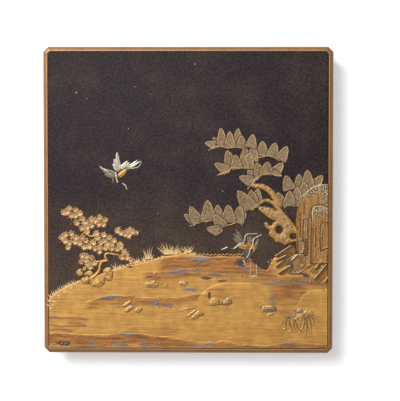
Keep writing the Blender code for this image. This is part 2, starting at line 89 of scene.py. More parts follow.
def select_only(*things):
    """Leave edit mode, deselect all, then select these; the last one is active."""
    if bpy.context.mode != "OBJECT":
        bpy.ops.object.mode_set(mode="OBJECT")
    bpy.ops.object.select_all(action="DESELECT")
    for thing in things:
        thing.select_set(True)
        bpy.context.view_layer.objects.active = thing


def select_faces(thing, wanted):
    """In edit mode with only the faces that pass the test selected."""
    select_only(thing)
    bpy.ops.object.mode_set(mode="EDIT")
    bpy.ops.mesh.select_mode(type="FACE")
    bpy.ops.mesh.select_all(action="DESELECT")
    bpy.ops.object.mode_set(mode="OBJECT")
    for face in thing.data.polygons:
        face.select = wanted(face)
    bpy.ops.object.mode_set(mode="EDIT")


def select_edges(thing, wanted):
    """In edit mode with only the edges whose two ends pass the test selected."""
    select_only(thing)
    bpy.ops.object.mode_set(mode="EDIT")
    bpy.ops.mesh.select_mode(type="EDGE")
    bpy.ops.mesh.select_all(action="DESELECT")
    bpy.ops.object.mode_set(mode="OBJECT")
    points = thing.data.vertices
    for edge in thing.data.edges:
        edge.select = wanted(points[edge.vertices[0]].co, points[edge.vertices[1]].co)
    bpy.ops.object.mode_set(mode="EDIT")


def apply_all(thing):
    """Apply the object's modifiers, then its place, turn and scale."""
    select_only(thing)
    for modifier in list(thing.modifiers):
        bpy.ops.object.modifier_apply(modifier=modifier.name)
    bpy.ops.object.transform_apply(location=True, rotation=True, scale=True)


def hand_over(piece, name, angle=40):
    """Name a finished piece, shade it and let it ride with the box."""
    piece.name = name
    piece.data.name = name
    select_only(piece)
    bpy.ops.object.shade_smooth_by_angle(angle=math.radians(angle))
    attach(piece, "root")
    piece.data.calc_loop_triangles()
    print(f"{name}: {len(piece.data.loop_triangles)} triangles")
    return piece


# %% [markdown]
# A finish is a material: colour, roughness and a small bump, all worked out from
# the place on the box. These helpers add a node and set its inputs by name, so that
# each finish below reads as a short recipe. Colours are given as the screen shows
# them, from 0 to 255, and turned into the linear values that Blender works in.

# %% Helpers for finishes
def shade(red, green, blue):
    """Linear colour from screen values."""
    linear = []
    for value in (red, green, blue):
        part = value / 255
        linear.append(part / 12.92 if part <= 0.04045 else ((part + 0.055) / 1.055) ** 2.4)
    return (*linear, 1.0)


class Finish:
    """A material under construction, with shorthand for adding and joining nodes."""

    def __init__(self, name, roughness=0.4, metallic=0.0):
        self.material = bpy.data.materials.new(name)
        self.material.use_nodes = True
        self.tree = self.material.node_tree
        self.shader = self.tree.nodes["Principled BSDF"]
        self.shader.inputs["Roughness"].default_value = roughness
        self.shader.inputs["Metallic"].default_value = metallic
        self.place = self.add("ShaderNodeTexCoord").outputs["Object"]

    def add(self, kind, inputs=None, **settings):
        node = self.tree.nodes.new(kind)
        for key, value in settings.items():
            setattr(node, key, value)
        for key, value in (inputs or {}).items():
            if isinstance(value, bpy.types.NodeSocket):
                self.tree.links.new(value, node.inputs[key])
            else:
                node.inputs[key].default_value = value
        return node

    def noise(self, scale, detail=2.0, rough=0.5, stretch=(1, 1, 1)):
        """Noise between about 0.3 and 0.7, with scale in waves per metre."""
        stretched = self.add("ShaderNodeMapping", {"Vector": self.place, "Scale": stretch})
        grain = self.add("ShaderNodeTexNoise", {"Vector": stretched.outputs["Vector"],
                                                "Scale": scale, "Detail": detail,
                                                "Roughness": rough})
        return grain.outputs["Fac"]

    def steps(self, value, low, high, to_low=0.0, to_high=1.0):
        """The value stretched so that low to high becomes to_low to to_high."""
        node = self.add("ShaderNodeMapRange", {"Value": value, "From Min": low, "From Max": high,
                                               "To Min": to_low, "To Max": to_high})
        return node.outputs["Result"]

    def attribute(self, name):
        """A number that was painted on the mesh."""
        return self.add("ShaderNodeAttribute", attribute_name=name).outputs["Fac"]

    def height(self, axis):
        """The place along one axis, in metres."""
        return self.add("ShaderNodeSeparateXYZ", {"Vector": self.place}).outputs[axis]

    def maths(self, operation, first, second):
        node = self.add("ShaderNodeMath", operation=operation)
        for socket, value in zip(node.inputs, (first, second)):
            if isinstance(value, bpy.types.NodeSocket):
                self.tree.links.new(value, socket)
            else:
                socket.default_value = value
        return node.outputs["Value"]

    def mix(self, share, first, second):
        """A colour between two colours."""
        node = self.add("ShaderNodeMix", data_type="RGBA")
        for key, value in (("Factor_Float", share), ("A_Color", first), ("B_Color", second)):
            socket = next(s for s in node.inputs if s.identifier == key)
            if isinstance(value, bpy.types.NodeSocket):
                self.tree.links.new(value, socket)
            else:
                socket.default_value = value
        return next(s for s in node.outputs if s.identifier == "Result_Color")

    def colour(self, value):
        if isinstance(value, bpy.types.NodeSocket):
            self.tree.links.new(value, self.shader.inputs["Base Color"])
        else:
            self.shader.inputs["Base Color"].default_value = value

    def roughen(self, value):
        self.tree.links.new(value, self.shader.inputs["Roughness"])

    def bump(self, value, depth):
        """A fine bump, its depth in metres."""
        node = self.add("ShaderNodeBump", {"Height": value, "Distance": depth, "Strength": 1.0})
        self.tree.links.new(node.outputs["Normal"], self.shader.inputs["Normal"])


# %% [markdown]
# The photograph looks straight down from about a metre and a half, leaning two
# degrees. A long lens keeps the sides of the box hidden. The light is high at the
# upper left: its shadow is narrow, to the right of the box and below it.

# %% Camera, lights and floor
IMAGE_SIZE = (400, 401)
CAMERA_HEIGHT = 1.5
CAMERA_LEAN = (math.radians(1.2), math.radians(3.2))
SENSOR = 36.0
CLOSER = 1.006

aim = Vector((*spot(IMAGE_SIZE[0] / 2 + 0.1, IMAGE_SIZE[1] / 2 - 1.1), PANEL_TOP))
bpy.ops.object.camera_add()
camera = bpy.context.object
camera.data.sensor_width = SENSOR
camera.data.lens = CLOSER * SENSOR * CAMERA_HEIGHT / (max(IMAGE_SIZE) * SQUARE)
lean = Vector((math.tan(CAMERA_LEAN[0]), math.tan(CAMERA_LEAN[1]), 1.0)).normalized()
sideways = Vector((0, 1, 0)).cross(lean).normalized()
axes = Matrix((sideways, lean.cross(sideways), lean)).transposed()
camera.matrix_world = Matrix.Translation(aim + lean * CAMERA_HEIGHT) @ axes.to_4x4()
bpy.context.scene.camera = camera


def softbox(name, direction, distance, size, power):
    """A square soft light that faces the box from a direction."""
    bpy.ops.object.light_add(type="AREA")
    light = bpy.context.object
    light.name = name
    light.location = Vector(direction).normalized() * distance
    light.rotation_mode = "QUATERNION"
    light.rotation_quaternion = light.location.to_track_quat("Z", "Y")
    light.data.size = size
    light.data.energy = power
    return light


softbox("high_light", (-0.2, 0.26, 1.0), 1.8, 0.5, 20)
softbox("low_light", (-1.0, 1.05, 0.95), 1.5, 0.3, 12)

world = bpy.data.worlds.new("studio")
bpy.context.scene.world = world
world.use_nodes = True
world.node_tree.nodes["Background"].inputs["Color"].default_value = (0.98, 0.99, 1.0, 1.0)
world.node_tree.nodes["Background"].inputs["Strength"].default_value = 0.22
bpy.context.scene.view_settings.view_transform = "Standard"

bpy.ops.mesh.primitive_plane_add(size=6, location=(0, 0, tray_low.z))
floor = bpy.context.object
floor.name = "pale_floor"
paper = Finish("pale_paper", roughness=0.9)
paper.colour((0.93, 0.93, 0.93, 1.0))
paper.shader.inputs["Emission Color"].default_value = (1.0, 1.0, 1.0, 1.0)
paper.shader.inputs["Emission Strength"].default_value = 0.45
floor.data.materials.append(paper.material)
floor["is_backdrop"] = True

# %% [markdown]
# The ground of the lid is black lacquer into which fine metal dust was sprinkled
# while it was wet. Up close it is a grain of brown and grey specks; towards the
# shore the dust lies thicker and turns the black to olive brown. Noise at two sizes
# makes the grain, and the place along the box sets how thick the dust lies.

# %% Lacquer finishes
def sprinkled_lacquer(name, dark, dust, gold, rough):
    """Nearly black lacquer with metal dust, gold and thicker towards the shore."""
    lacquer = Finish(name, roughness=rough)
    lacquer.shader.inputs["Specular IOR Level"].default_value = 0.1
    fine = lacquer.noise(1500, detail=1)
    coarse = lacquer.noise(620, detail=2)
    grain = lacquer.maths("ADD", lacquer.steps(fine, 0.36, 0.64, 0, 0.6),
                          lacquer.steps(coarse, 0.36, 0.64, -0.1, 0.5))
    ground = lacquer.mix(grain, dark, dust)
    shore = lacquer.steps(lacquer.height("Y"), 0.02, -0.06, 0.0, 0.55)
    drift = lacquer.maths("ADD", shore, lacquer.steps(lacquer.noise(38, detail=3), 0.3, 0.7, -0.15, 0.25))
    amount = lacquer.maths("MULTIPLY", lacquer.steps(fine, 0.4, 0.62, 0.25, 1.0), drift)
    lacquer.ground = lacquer.mix(lacquer.steps(amount, 0, 1), ground, gold)
    lacquer.colour(lacquer.ground)
    lacquer.bump(fine, 0.00002)
    return lacquer


wall_lacquer = sprinkled_lacquer("wall_lacquer", shade(22, 15, 16), shade(48, 36, 33), shade(104, 76, 46), 0.35)
inside_lacquer = sprinkled_lacquer("inside_lacquer", shade(40, 26, 22), shade(150, 108, 58), shade(176, 130, 70), 0.35)
panel_lacquer = sprinkled_lacquer("panel_lacquer", shade(22, 14, 18), shade(56, 46, 49), shade(104, 84, 60), 0.5)

# Gold mist blown over the black: its place and reach in squares, and its strength.
MISTS = [(262, 240, 20, 0.5), (246, 236, 16, 0.35), (230, 236, 24, 0.3), (266, 262, 10, 0.5),
         (240, 250, 12, 0.5), (200, 236, 30, 0.12), (62, 268, 22, 0.18), (110, 268, 12, 0.2)]
haze = panel_lacquer.ground
for x, y, reach, strength in MISTS:
    away = panel_lacquer.add("ShaderNodeVectorMath", {0: panel_lacquer.place, 1: (*spot(x, y), PANEL_TOP)},
                             operation="DISTANCE")
    share = panel_lacquer.steps(away.outputs["Value"], reach * SQUARE, 0, 0, strength)
    haze = panel_lacquer.mix(share, haze, shade(84, 70, 58))
# Small pale scuffs where the lacquer was rubbed through.
SCUFFS = [(77.4, 92.3, 0.75), (87.6, 98.2, 0.5), (135.5, 86.5, 0.5), (151, 94, 0.45), (129, 128, 0.55),
          (195, 64, 0.6), (222.6, 190, 0.6), (158, 212, 0.4)]
for x, y, reach in SCUFFS:
    away = panel_lacquer.add("ShaderNodeVectorMath", {0: panel_lacquer.place, 1: (*spot(x, y), PANEL_TOP)},
                             operation="DISTANCE")
    share = panel_lacquer.steps(away.outputs["Value"], reach * SQUARE * 1.5, reach * SQUARE * 0.3)
    haze = panel_lacquer.mix(share, haze, shade(168, 156, 150))
panel_lacquer.colour(haze)

groove = Finish("groove_shadow", roughness=0.6)
groove.colour(groove.mix(groove.noise(900), shade(52, 38, 30), shade(84, 62, 44)))

# %% [markdown]
# The rounded shoulder of the lid is dusted with gold and rubbed by hands: the gold
# is warm and pinkish brown, thinner on its outer side. The colour wanders along the
# rim, and fine scratches keep it from shining like metal plate.

# %% Gold of the rim
rim_gold = Finish("rim_gold", roughness=0.42, metallic=0.35)
worn = rim_gold.steps(rim_gold.noise(60, detail=4), 0.35, 0.68)
powder = rim_gold.steps(rim_gold.noise(1800, detail=2), 0.35, 0.7)
warm = rim_gold.mix(worn, shade(154, 108, 62), shade(126, 86, 50))
rim_gold.colour(rim_gold.mix(powder, warm, shade(172, 128, 82)))
rim_gold.bump(powder, 0.00002)

# %% [markdown]
# The lid is one piece of wood under the lacquer. It starts as a block: its upright
# edges are cut at the corners and softened, its top edge is rounded into the
# shoulder, and its top is inset again and again to sink the groove and roll the
# panel's edge. Its underside is inset and pushed up to leave walls of true thickness.

# %% Helpers for a block with cut corners
WALL = 4 * MM
SHOULDER = 3.4 * MM
SHOULDER_STEPS = 8


def cut_block(width, length, low, high, corner):
    """A block whose four upright edges are cut away at 45 degrees."""
    select_only()
    bpy.ops.mesh.primitive_cube_add(size=1, location=(0, 0, (low + high) / 2))
    block = bpy.context.object
    block.scale = (width, length, high - low)
    apply_all(block)
    select_edges(block, lambda a, b: abs(a.z - b.z) > 10 * MM)
    bpy.ops.mesh.bevel(offset=corner, offset_type="OFFSET", segments=1)
    return block


def draw_in(block, side, steps):
    """Inset the top (side 1) or bottom (side -1) again and again, in by and up by."""
    level = max(side * v.co.z for v in block.data.vertices)
    select_faces(block, lambda f: side * f.normal.z > 0.9 and side * f.center.z > level - 1e-6)
    for inward, rise in steps:
        bpy.ops.mesh.inset(thickness=inward * MM, depth=0)
        bpy.ops.transform.translate(value=(0, 0, rise * MM))
    bpy.ops.object.mode_set(mode="OBJECT")


def is_corner_line(a, b):
    """True for the short edges that run up a corner and over its shoulder."""
    across = b - a
    level_and_slanted = abs(across.z) < 1e-6 and abs(abs(across.x) - abs(across.y)) < 0.2 * MM
    return max(abs(across.x), abs(across.y)) < 20 * MM and not level_and_slanted


# %% Model the lid
select_only()
lid = cut_block(lid_high.x - lid_low.x, lid_high.y - lid_low.y, lid_low.z + 0.6 * MM,
                PANEL_TOP - 3.6 * MM, 4 * MM)
turns = [math.radians(90 * i / SHOULDER_STEPS) for i in range(SHOULDER_STEPS + 1)]
shoulder = [(SHOULDER / MM * (math.cos(a) - math.cos(b)), SHOULDER / MM * (math.sin(b) - math.sin(a)))
            for a, b in zip(turns, turns[1:])]
groove_and_edge = [(0.15, -0.05), (0.2, -0.3), (0.2, 0), (0.15, 0.25), (0.3, 0.22), (0.4, 0.08)]
draw_in(lid, 1, shoulder + groove_and_edge)
draw_in(lid, -1, [(0.5, -0.6), (3.0, 0), (0.5, 0.4), (0.001, 26), (0.2, 0.4), (0.4, 0.2)])
select_edges(lid, is_corner_line)
bpy.ops.mesh.bevel(offset=0.35 * MM, offset_type="OFFSET", segments=2)
bpy.ops.object.mode_set(mode="OBJECT")

NOTCH_WIDTH = 23 * MM
NOTCH_HEIGHT = 4.5 * MM
notch_radius = ((NOTCH_WIDTH / 2) ** 2 + NOTCH_HEIGHT ** 2) / (2 * NOTCH_HEIGHT)
select_only()
bpy.ops.mesh.primitive_cylinder_add(vertices=96, radius=notch_radius, depth=0.3,
                                    location=(0, 0, lid_low.z + NOTCH_HEIGHT - notch_radius),
                                    rotation=(0, math.pi / 2, 0))
cutter = bpy.context.object
select_only(lid)
notches = lid.modifiers.new("finger_notches", "BOOLEAN")
notches.operation = "DIFFERENCE"
notches.object = cutter
bpy.ops.object.modifier_apply(modifier=notches.name)
bpy.data.objects.remove(cutter)

RIM_LINE = 4.05 * MM
for finish in (wall_lacquer, rim_gold, groove, panel_lacquer, inside_lacquer):
    lid.data.materials.append(finish.material)
half_width, half_length = lid_high.x, lid_high.y
for face in lid.data.polygons:
    reach = max(abs(face.center.x) - half_width, abs(face.center.y) - half_length)
    reach = max(reach, (abs(face.center.x) + abs(face.center.y) - half_width - half_length + 4 * MM) * 0.71)
    if face.normal.z < -0.5 or (face.center.z < 41.1 * MM and reach < -2 * MM):
        face.material_index = 4
    elif face.center.z < PANEL_TOP - 3.7 * MM:
        face.material_index = 0
    elif reach > -3.75 * MM:
        face.material_index = 1
    elif reach > -4.1 * MM:
        face.material_index = 2
    else:
        face.material_index = 3
hand_over(lid, "lid_shell", angle=30)
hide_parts("lid")

# %% [markdown]
# The tray under the lid is a plain box: a level foot, walls of true thickness and a
# gilded rim on which the lid rests. Only its foot shows below the lid. Its inside is
# lacquered with the same dust, so that the open box looks finished too.

# %% Model the tray
tray = cut_block(tray_high.x - tray_low.x, tray_high.y - tray_low.y, tray_low.z + 1 * MM,
                 tray_high.z - 0.8 * MM, 1.3 * MM)
draw_in(tray, -1, [(1.0, -1.0)])
draw_in(tray, 1, [(0.6, 0.8), (2.8, 0), (0.6, -0.6), (0.001, -33.6), (0.4, -1.0), (1.2, -0.5)])
for finish in (wall_lacquer, rim_gold, inside_lacquer):
    tray.data.materials.append(finish.material)
for face in tray.data.polygons:
    reach = max(abs(face.center.x) - tray_high.x, abs(face.center.y) - tray_high.y)
    if face.center.z > tray_high.z - 0.9 * MM:
        face.material_index = 1
    elif reach < -3.9 * MM and face.normal.z > -0.5:
        face.material_index = 2
hand_over(tray, "tray_shell", angle=30)
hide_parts("tray")

# %% [markdown]
# The shore fills the lower third of the lid. On the real lid it is a low bank of
# lacquer and charcoal powder, dusted with gold, with darker gold blown over it in
# bands that have one crisp edge, and touches of blue. A fine grid is laid over the
# area; its points are lifted by a few simple rules, and the same rules paint how
# much brown, blue or dark each point gets. The far edge dips under the
# panel, so its outline is where the bank meets the lacquer.

# %% Rules for the shore's form
SHORE_CELL = 0.46 * MM
GROUND_RISE = 0.3
FAR_EDGE = [(44, 301), (50, 297), (62, 287), (76, 280), (95, 274), (113, 268), (135, 262.5),
            (155, 257.5), (163, 254.5), (172, 253), (186, 250.8), (191, 252.5), (198, 254),
            (240, 254.4), (249, 256), (254, 262), (262, 267.6), (267, 268), (270, 262), (274, 256),
            (290, 252), (310, 250), (332, 248)]


def sheet_noise(x, y, wave_x, wave_y, seed=0):
    """Smooth noise from -1 to 1 over sheet places, with its own wavelength each way."""
    places = zip((x / wave_x).ravel().tolist(), (y / wave_y).ravel().tolist())
    values = [noise.noise(Vector((a, b, seed * 7.3))) for a, b in places]
    return np.array(values).reshape(x.shape)


def ease(value, low, high):
    """0 below low, 1 above high, and smooth between them."""
    share = np.clip((value - low) / (high - low), 0, 1)
    return share * share * (3 - 2 * share)


def below_edge(x, y, edge, fade=6):
    """Squares below a drawn edge, and how strongly the edge counts at its two ends."""
    xs, ys = zip(*edge)
    ends = ease(x, xs[0] - fade / 2, xs[0] + fade) * (1 - ease(x, xs[-1] - fade, xs[-1] + fade / 2))
    return y - np.interp(x, xs, ys), ends


# Each band: its far edge, how far its colour reaches, its strength and its lip in mm.
BROWN_BANDS = [
    ([(158, 262), (164, 257.5), (171, 255.6), (190, 255.4), (215, 255.6), (240, 256), (249, 257.6),
      (262, 262), (274, 262)], 30, 1.0, 0.16),
    ([(143, 272), (147, 270.5), (158, 271.5), (172, 269.5), (200, 267), (216, 266)], 13, 0.85, 0.15),
    ([(86, 302), (94, 298.5), (102, 296), (110, 294.2), (124, 294.6), (136, 294.4)], 13, 0.9, 0.22),
    ([(132, 299), (140, 296.4), (150, 297), (165, 297.6), (182, 296), (198, 293), (214, 290)],
     12, 0.9, 0.18),
    ([(46, 315), (60, 315.5), (75, 315.4), (90, 317.5)], 5, 0.9, 0.12),
    ([(46, 322.5), (60, 324.5), (84, 324.2)], 3, 0.8, 0.1),
    ([(46, 328.6), (60, 327.8), (76, 328.4)], 4, 0.8, 0.1),
    ([(44, 333), (60, 332.6), (80, 334), (108, 334.2), (123, 332.6), (142, 333), (152, 335.4),
      (168, 336), (182, 338.6), (205, 341.6), (216, 341), (223, 340), (238, 343.4), (266, 345),
      (288, 341.6), (302, 341.6), (320, 343), (334, 343)], 18, 1.0, 0.22),
    ([(240, 268), (262, 266), (278, 276), (300, 275), (334, 276)], 16, 0.9, 0.0),
    ([(262, 286), (276, 283), (300, 283), (308, 286)], 30, 1.0, 0.0)]
GOLD_BANKS = [
    ([(196, 300), (206, 289), (212, 284.6), (222, 282.6), (250, 282.2), (262, 283.6), (272, 286)],
     70, 1.0, 0.25),
    ([(296, 306), (300, 298), (304, 292.5), (310, 289.5), (320, 288.4), (334, 288)], 60, 1.0, 0.22)]
BLUE_TOUCHES = [
    (200, 257.6, 9, 2.2), (206, 258.6, 6, 1.6), (112, 296.2, 10, 1.6), (103, 298, 4, 1),
    (56, 316, 3.5, 1), (84, 325, 4, 1), (64, 328.8, 6, 1), (128, 333.8, 9, 1.4), (113, 341.6, 4, 1.6),
    (210, 343, 8, 1.2), (196, 345, 9, 1), (290, 342, 11, 1), (272, 297, 4, 2), (190, 288.6, 8, 1.8),
    (244, 268, 7, 1.2), (180, 270.2, 9, 1.8), (196, 269.6, 5, 1.5), (170, 272.5, 5, 1.2),
    (216, 273.6, 7, 1.8), (156, 302, 5, 2.4), (168, 304.6, 6, 1.6), (132, 303.4, 3, 1.4),
    (122, 344, 7, 2.2), (146, 344.4, 6, 2), (300, 282, 9, 1.4), (276, 281.6, 12, 1.6),
    (296, 310, 3, 2.4), (290, 315.4, 5, 1.2), (92, 343.4, 6, 1.4)]
DARK_TOUCHES = [
    (268, 307.6, 7.5, 3.2), (209.4, 294, 1.6, 4), (130.8, 266, 3.4, 1.2), (306, 274.5, 4, 2),
    (207, 277.4, 6, 1.6), (222, 280, 5, 1), (64, 343, 8, 3), (150, 276, 4, 1), (298, 272.6, 10, 1),
    (241, 262, 5, 5)]


def touches(x, y, places, wave_x, wave_y, seed):
    """Soft oval touches whose edges are broken by noise."""
    total = np.zeros(x.shape)
    for cx, cy, half_x, half_y in places:
        total = np.maximum(total, 1.4 - np.hypot((x - cx) / half_x, (y - cy) / half_y))
    ragged = sheet_noise(x, y, wave_x, wave_y, seed)
    return ease(total + 0.45 * ragged, 0.25, 0.75)


# %% [markdown]
# The rules above are worked out for all points of the grid at once. Long flat noise
# stands for the sweep of the brush; the crisp far edge of a band gets a small lip,
# because on the real lid each layer ends in one.

# %% Lay the shore
PANEL_EDGE = 4.3 * MM
left_x, near_y = SHEET_CENTRE[0] - (lid_high.x - PANEL_EDGE) / SQUARE, None
panel_right = SHEET_CENTRE[0] + (lid_high.x - PANEL_EDGE) / SQUARE
panel_left = SHEET_CENTRE[0] - (lid_high.x - PANEL_EDGE) / SQUARE
panel_near = SHEET_CENTRE[1] + (lid_high.y - PANEL_EDGE) / SQUARE
SHORE_TOP = 245
width = (panel_right - panel_left) * SQUARE
depth = (panel_near - SHORE_TOP) * SQUARE
middle = spot((panel_left + panel_right) / 2, (panel_near + SHORE_TOP) / 2)
select_only()
bpy.ops.mesh.primitive_grid_add(x_subdivisions=round(width / SHORE_CELL),
                                y_subdivisions=round(depth / SHORE_CELL),
                                size=1, location=(*middle, PANEL_TOP))
shore = bpy.context.object
shore.scale = (width, depth, 1)
apply_all(shore)

count = len(shore.data.vertices)
flat = np.empty(count * 3)
shore.data.vertices.foreach_get("co", flat)
points = flat.reshape(-1, 3)
sheet_x = points[:, 0] / SQUARE + SHEET_CENTRE[0]
sheet_y = SHEET_CENTRE[1] - points[:, 1] / SQUARE
sweep = sheet_noise(sheet_x, sheet_y, 34, 3.2, 1)
streak = sheet_noise(sheet_x, sheet_y, 12, 1.1, 2)
cloud = sheet_noise(sheet_x, sheet_y, 30, 14, 3)
broken = sheet_noise(sheet_x, sheet_y, 5, 2.5, 4)
wander = 0.9 * sheet_noise(sheet_x, sheet_y, 7, 60, 5)

inside, _ = below_edge(sheet_x, sheet_y + wander, FAR_EDGE)
rise = -SUNK / MM + (GROUND_RISE + SUNK / MM) * ease(inside, -0.8, 1.6)
rise += ease(inside, 0, 4) * (0.05 * sweep + 0.03 * streak + 0.08 * cloud)
brown = np.zeros(count)
for edge, reach, strength, lip in BROWN_BANDS:
    down, ends = below_edge(sheet_x, sheet_y + 0.5 * wander, edge)
    fade = 1 - ease(down, reach * (0.35 + 0.25 * sweep), reach * (1 + 0.4 * sweep))
    brown = np.maximum(brown, strength * ends * ease(down, -0.15, 0.35) * fade)
    lip = 0.55 * lip * (0.7 + 0.9 * broken)
    rise += lip * ends * ease(down, -0.8, 0.1) * (1 - ease(down, 0.2, reach * 0.5))
for edge, reach, strength, lip in GOLD_BANKS:
    down, ends = below_edge(sheet_x, sheet_y + 0.5 * wander, edge)
    brown *= 1 - strength * ends * ease(down, -0.2, 0.6) * (1 - ease(down, reach * 0.6, reach))
    rise += 0.6 * lip * ends * ease(down, -0.8, 0.2) * (1 - ease(down, 2, 16))
comb = sheet_noise(sheet_x, sheet_y, 16, 0.8, 9)
brown = np.clip(brown * (1 + 0.25 * streak + 0.2 * broken) - 0.45 * np.maximum(comb, 0) * (brown < 0.97), 0, 1)
rise += 0.03 * comb * ease(inside, 0, 4)
brown = np.maximum(brown, 0.55 * ease(streak * 0.6 + cloud, 0.32, 0.62) * ease(sheet_y, 262, 275))
blue = touches(sheet_x, sheet_y, BLUE_TOUCHES, 3.2, 1.2, 6) * ease(inside, 0, 2)
# Dark touches are partly dark stones and partly painted shade in crevices; they are also sunk a little.
dark = touches(sheet_x, sheet_y, DARK_TOUCHES, 2.2, 1.6, 8) * ease(inside, 0, 2)
rise -= 0.12 * dark
points[:, 2] = PANEL_TOP + rise * MM

shore.data.vertices.foreach_set("co", points.ravel())
for name, values in (("brown", brown), ("blue", blue), ("dark", dark)):
    layer = shore.data.attributes.new(name, "FLOAT", "POINT")
    layer.data.foreach_set("value", values.astype(np.float32))
low = PANEL_TOP - 0.9 * SUNK
select_faces(shore, lambda f: f.center.z < low)
bpy.ops.mesh.delete(type="FACE")
bpy.ops.mesh.select_all(action="SELECT")
bpy.ops.mesh.region_to_loop()
bpy.ops.mesh.extrude_region_move(TRANSFORM_OT_translate={"value": (0, 0, -0.6 * MM)})
bpy.ops.object.mode_set(mode="OBJECT")
print("shore points", count)

# %% [markdown]
# Gold on such a lid is fine metal powder on wet lacquer, not plate: satin, a little
# grainy, and brown where the lacquer shows through. The same powder is used on the
# shore, the trees and the rocks; the lighter rims and edges of some forms are painted highlight.

# %% Gold, brown, blue and silver powders
def powdered(name, thick, thin, rough=0.46, metal=0.35, coarse=420):
    """Metal powder on lacquer: thick and thin colour mixed by a coarse and a fine grain."""
    finish = Finish(name, roughness=rough, metallic=metal)
    fine = finish.noise(2200, detail=2)
    cover = finish.maths("ADD", finish.steps(finish.noise(coarse, detail=4), 0.34, 0.66, 0, 0.7),
                         finish.steps(fine, 0.36, 0.64, -0.15, 0.45))
    finish.cover = finish.steps(cover, 0, 1)
    finish.tone = finish.mix(finish.cover, thin, thick)
    finish.colour(finish.tone)
    finish.bump(fine, 0.00004)
    return finish


shore_gold = powdered("shore_gold", shade(200, 150, 68), shade(172, 122, 56), coarse=160)
hatched = shore_gold.steps(shore_gold.noise(420, detail=3, stretch=(0.16, 1, 1)), 0.36, 0.64)
ochre = shore_gold.mix(hatched, shade(124, 78, 36), shade(174, 114, 50))
banded = shore_gold.mix(shore_gold.attribute("brown"), shore_gold.tone, ochre)
azurite = shore_gold.mix(hatched, shade(96, 92, 90), shade(108, 120, 134))
sky_blue = shore_gold.mix(shore_gold.steps(shore_gold.attribute("blue"), 0, 1, 0, 0.85), banded, azurite)
# Dark stones, and painted shade in the crevices.
dark_stones_and_shade = shore_gold.mix(shore_gold.attribute("dark"), sky_blue, shade(74, 60, 54))
shore_gold.colour(dark_stones_and_shade)
shore.data.materials.append(shore_gold.material)
hand_over(shore, "gold_shore", angle=60)


# %% [markdown]
# Much of the picture is drawn with raised lines: twigs, stems, roots, legs. Such a
# line is a curve through a few places. It is made a tube that is thick where the
# brush was pressed, then turned into a mesh and flattened to the height it has on
# the lid. Overlapping lines can be melted into one skin and cut level underneath.

# %% Raised lines and melted forms
def flatten(piece, level, share):
    """Squeeze a piece in height about a level, so that it lies as low relief."""
    for point in piece.data.vertices:
        point.co.z = level + (point.co.z - level) * share


def raised_line(places, widths, rise, level=0.0, sides=3):
    """A tube through sheet places, its width in squares, its height in millimetres."""
    select_only()
    base = PANEL_TOP + level * MM
    bpy.ops.curve.primitive_bezier_curve_add(location=(0, 0, 0))
    line = bpy.context.object
    line.data.bevel_depth = SQUARE / 2
    line.data.bevel_resolution = sides
    line.data.resolution_u = 6
    line.data.use_fill_caps = True
    spline = line.data.splines[0]
    spline.bezier_points.add(len(places) - 2)
    along = np.linspace(0, 1, len(places))
    thick = np.interp(along, np.linspace(0, 1, len(widths)), widths)
    for knot, place, width in zip(spline.bezier_points, places, thick):
        knot.co = (*spot(*place), base)
        knot.handle_left_type = knot.handle_right_type = "AUTO"
        knot.radius = width
    bpy.ops.object.convert(target="MESH")
    line = bpy.context.object
    flatten(line, base, rise * MM / (max(widths) * SQUARE / 2))
    return line


def joined(parts):
    """One object from several."""
    select_only(*parts)
    bpy.ops.object.join()
    return bpy.context.object


def melt(piece, grain, finish):
    """Fuse lumps into one skin of small squares, cut level just under the panel."""
    select_only(piece)
    piece.data.remesh_voxel_size = grain * MM
    bpy.ops.object.voxel_remesh()
    bpy.ops.object.mode_set(mode="EDIT")
    bpy.ops.mesh.select_all(action="SELECT")
    bpy.ops.mesh.bisect(plane_co=(0, 0, PANEL_TOP - SUNK / 2), plane_no=(0, 0, 1),
                        clear_inner=True, use_fill=True)
    bpy.ops.object.mode_set(mode="OBJECT")
    piece.data.materials.clear()
    piece.data.materials.append(finish)
    return piece


def wear(piece, rule):
    """Lift or sink the upper points by a rule on their sheet place, in millimetres."""
    for point in piece.data.vertices:
        if point.co.z > PANEL_TOP:
            x = point.co.x / SQUARE + SHEET_CENTRE[0]
            y = SHEET_CENTRE[1] - point.co.y / SQUARE
            point.co.z += rule(x, y, (point.co.z - PANEL_TOP) / MM) * MM


def stay_in_frame(piece):
    """Keep a piece inside the flat of the panel, where the rim begins."""
    limit_x, limit_y = lid_high.x - PANEL_EDGE, lid_high.y - PANEL_EDGE
    for point in piece.data.vertices:
        point.co.x = max(-limit_x, min(limit_x, point.co.x))
        point.co.y = max(-limit_y, min(limit_y, point.co.y))


# %% [markdown]
# Most of the picture is modelled on a fine grid laid over a part of the lid. Forms
# are laid on it one by one, the nearest last, as the lacquerer builds them: each has
# an outline, a height, and painted numbers for its finish. Where a form lies over
# another, the lower one is sunk a little along its edge and darkened there with
# painted shade. What stays flat is cut away.

# %% Forms laid on a fine grid
def away_from_line(x, y, path, widths=(0,)):
    """Distance in squares from a drawn line, less its half width, which may vary."""
    halves = np.interp(np.linspace(0, 1, len(path)), np.linspace(0, 1, len(widths)), widths) / 2
    nearest = np.full(x.shape, 1e9)
    for (ax, ay), (bx, by), half_a, half_b in zip(path, path[1:], halves, halves[1:]):
        dx, dy = bx - ax, by - ay
        share = np.clip(((x - ax) * dx + (y - ay) * dy) / (dx * dx + dy * dy), 0, 1)
        away = np.hypot(x - ax - share * dx, y - ay - share * dy)
        nearest = np.minimum(nearest, away - half_a - share * (half_b - half_a))
    return nearest


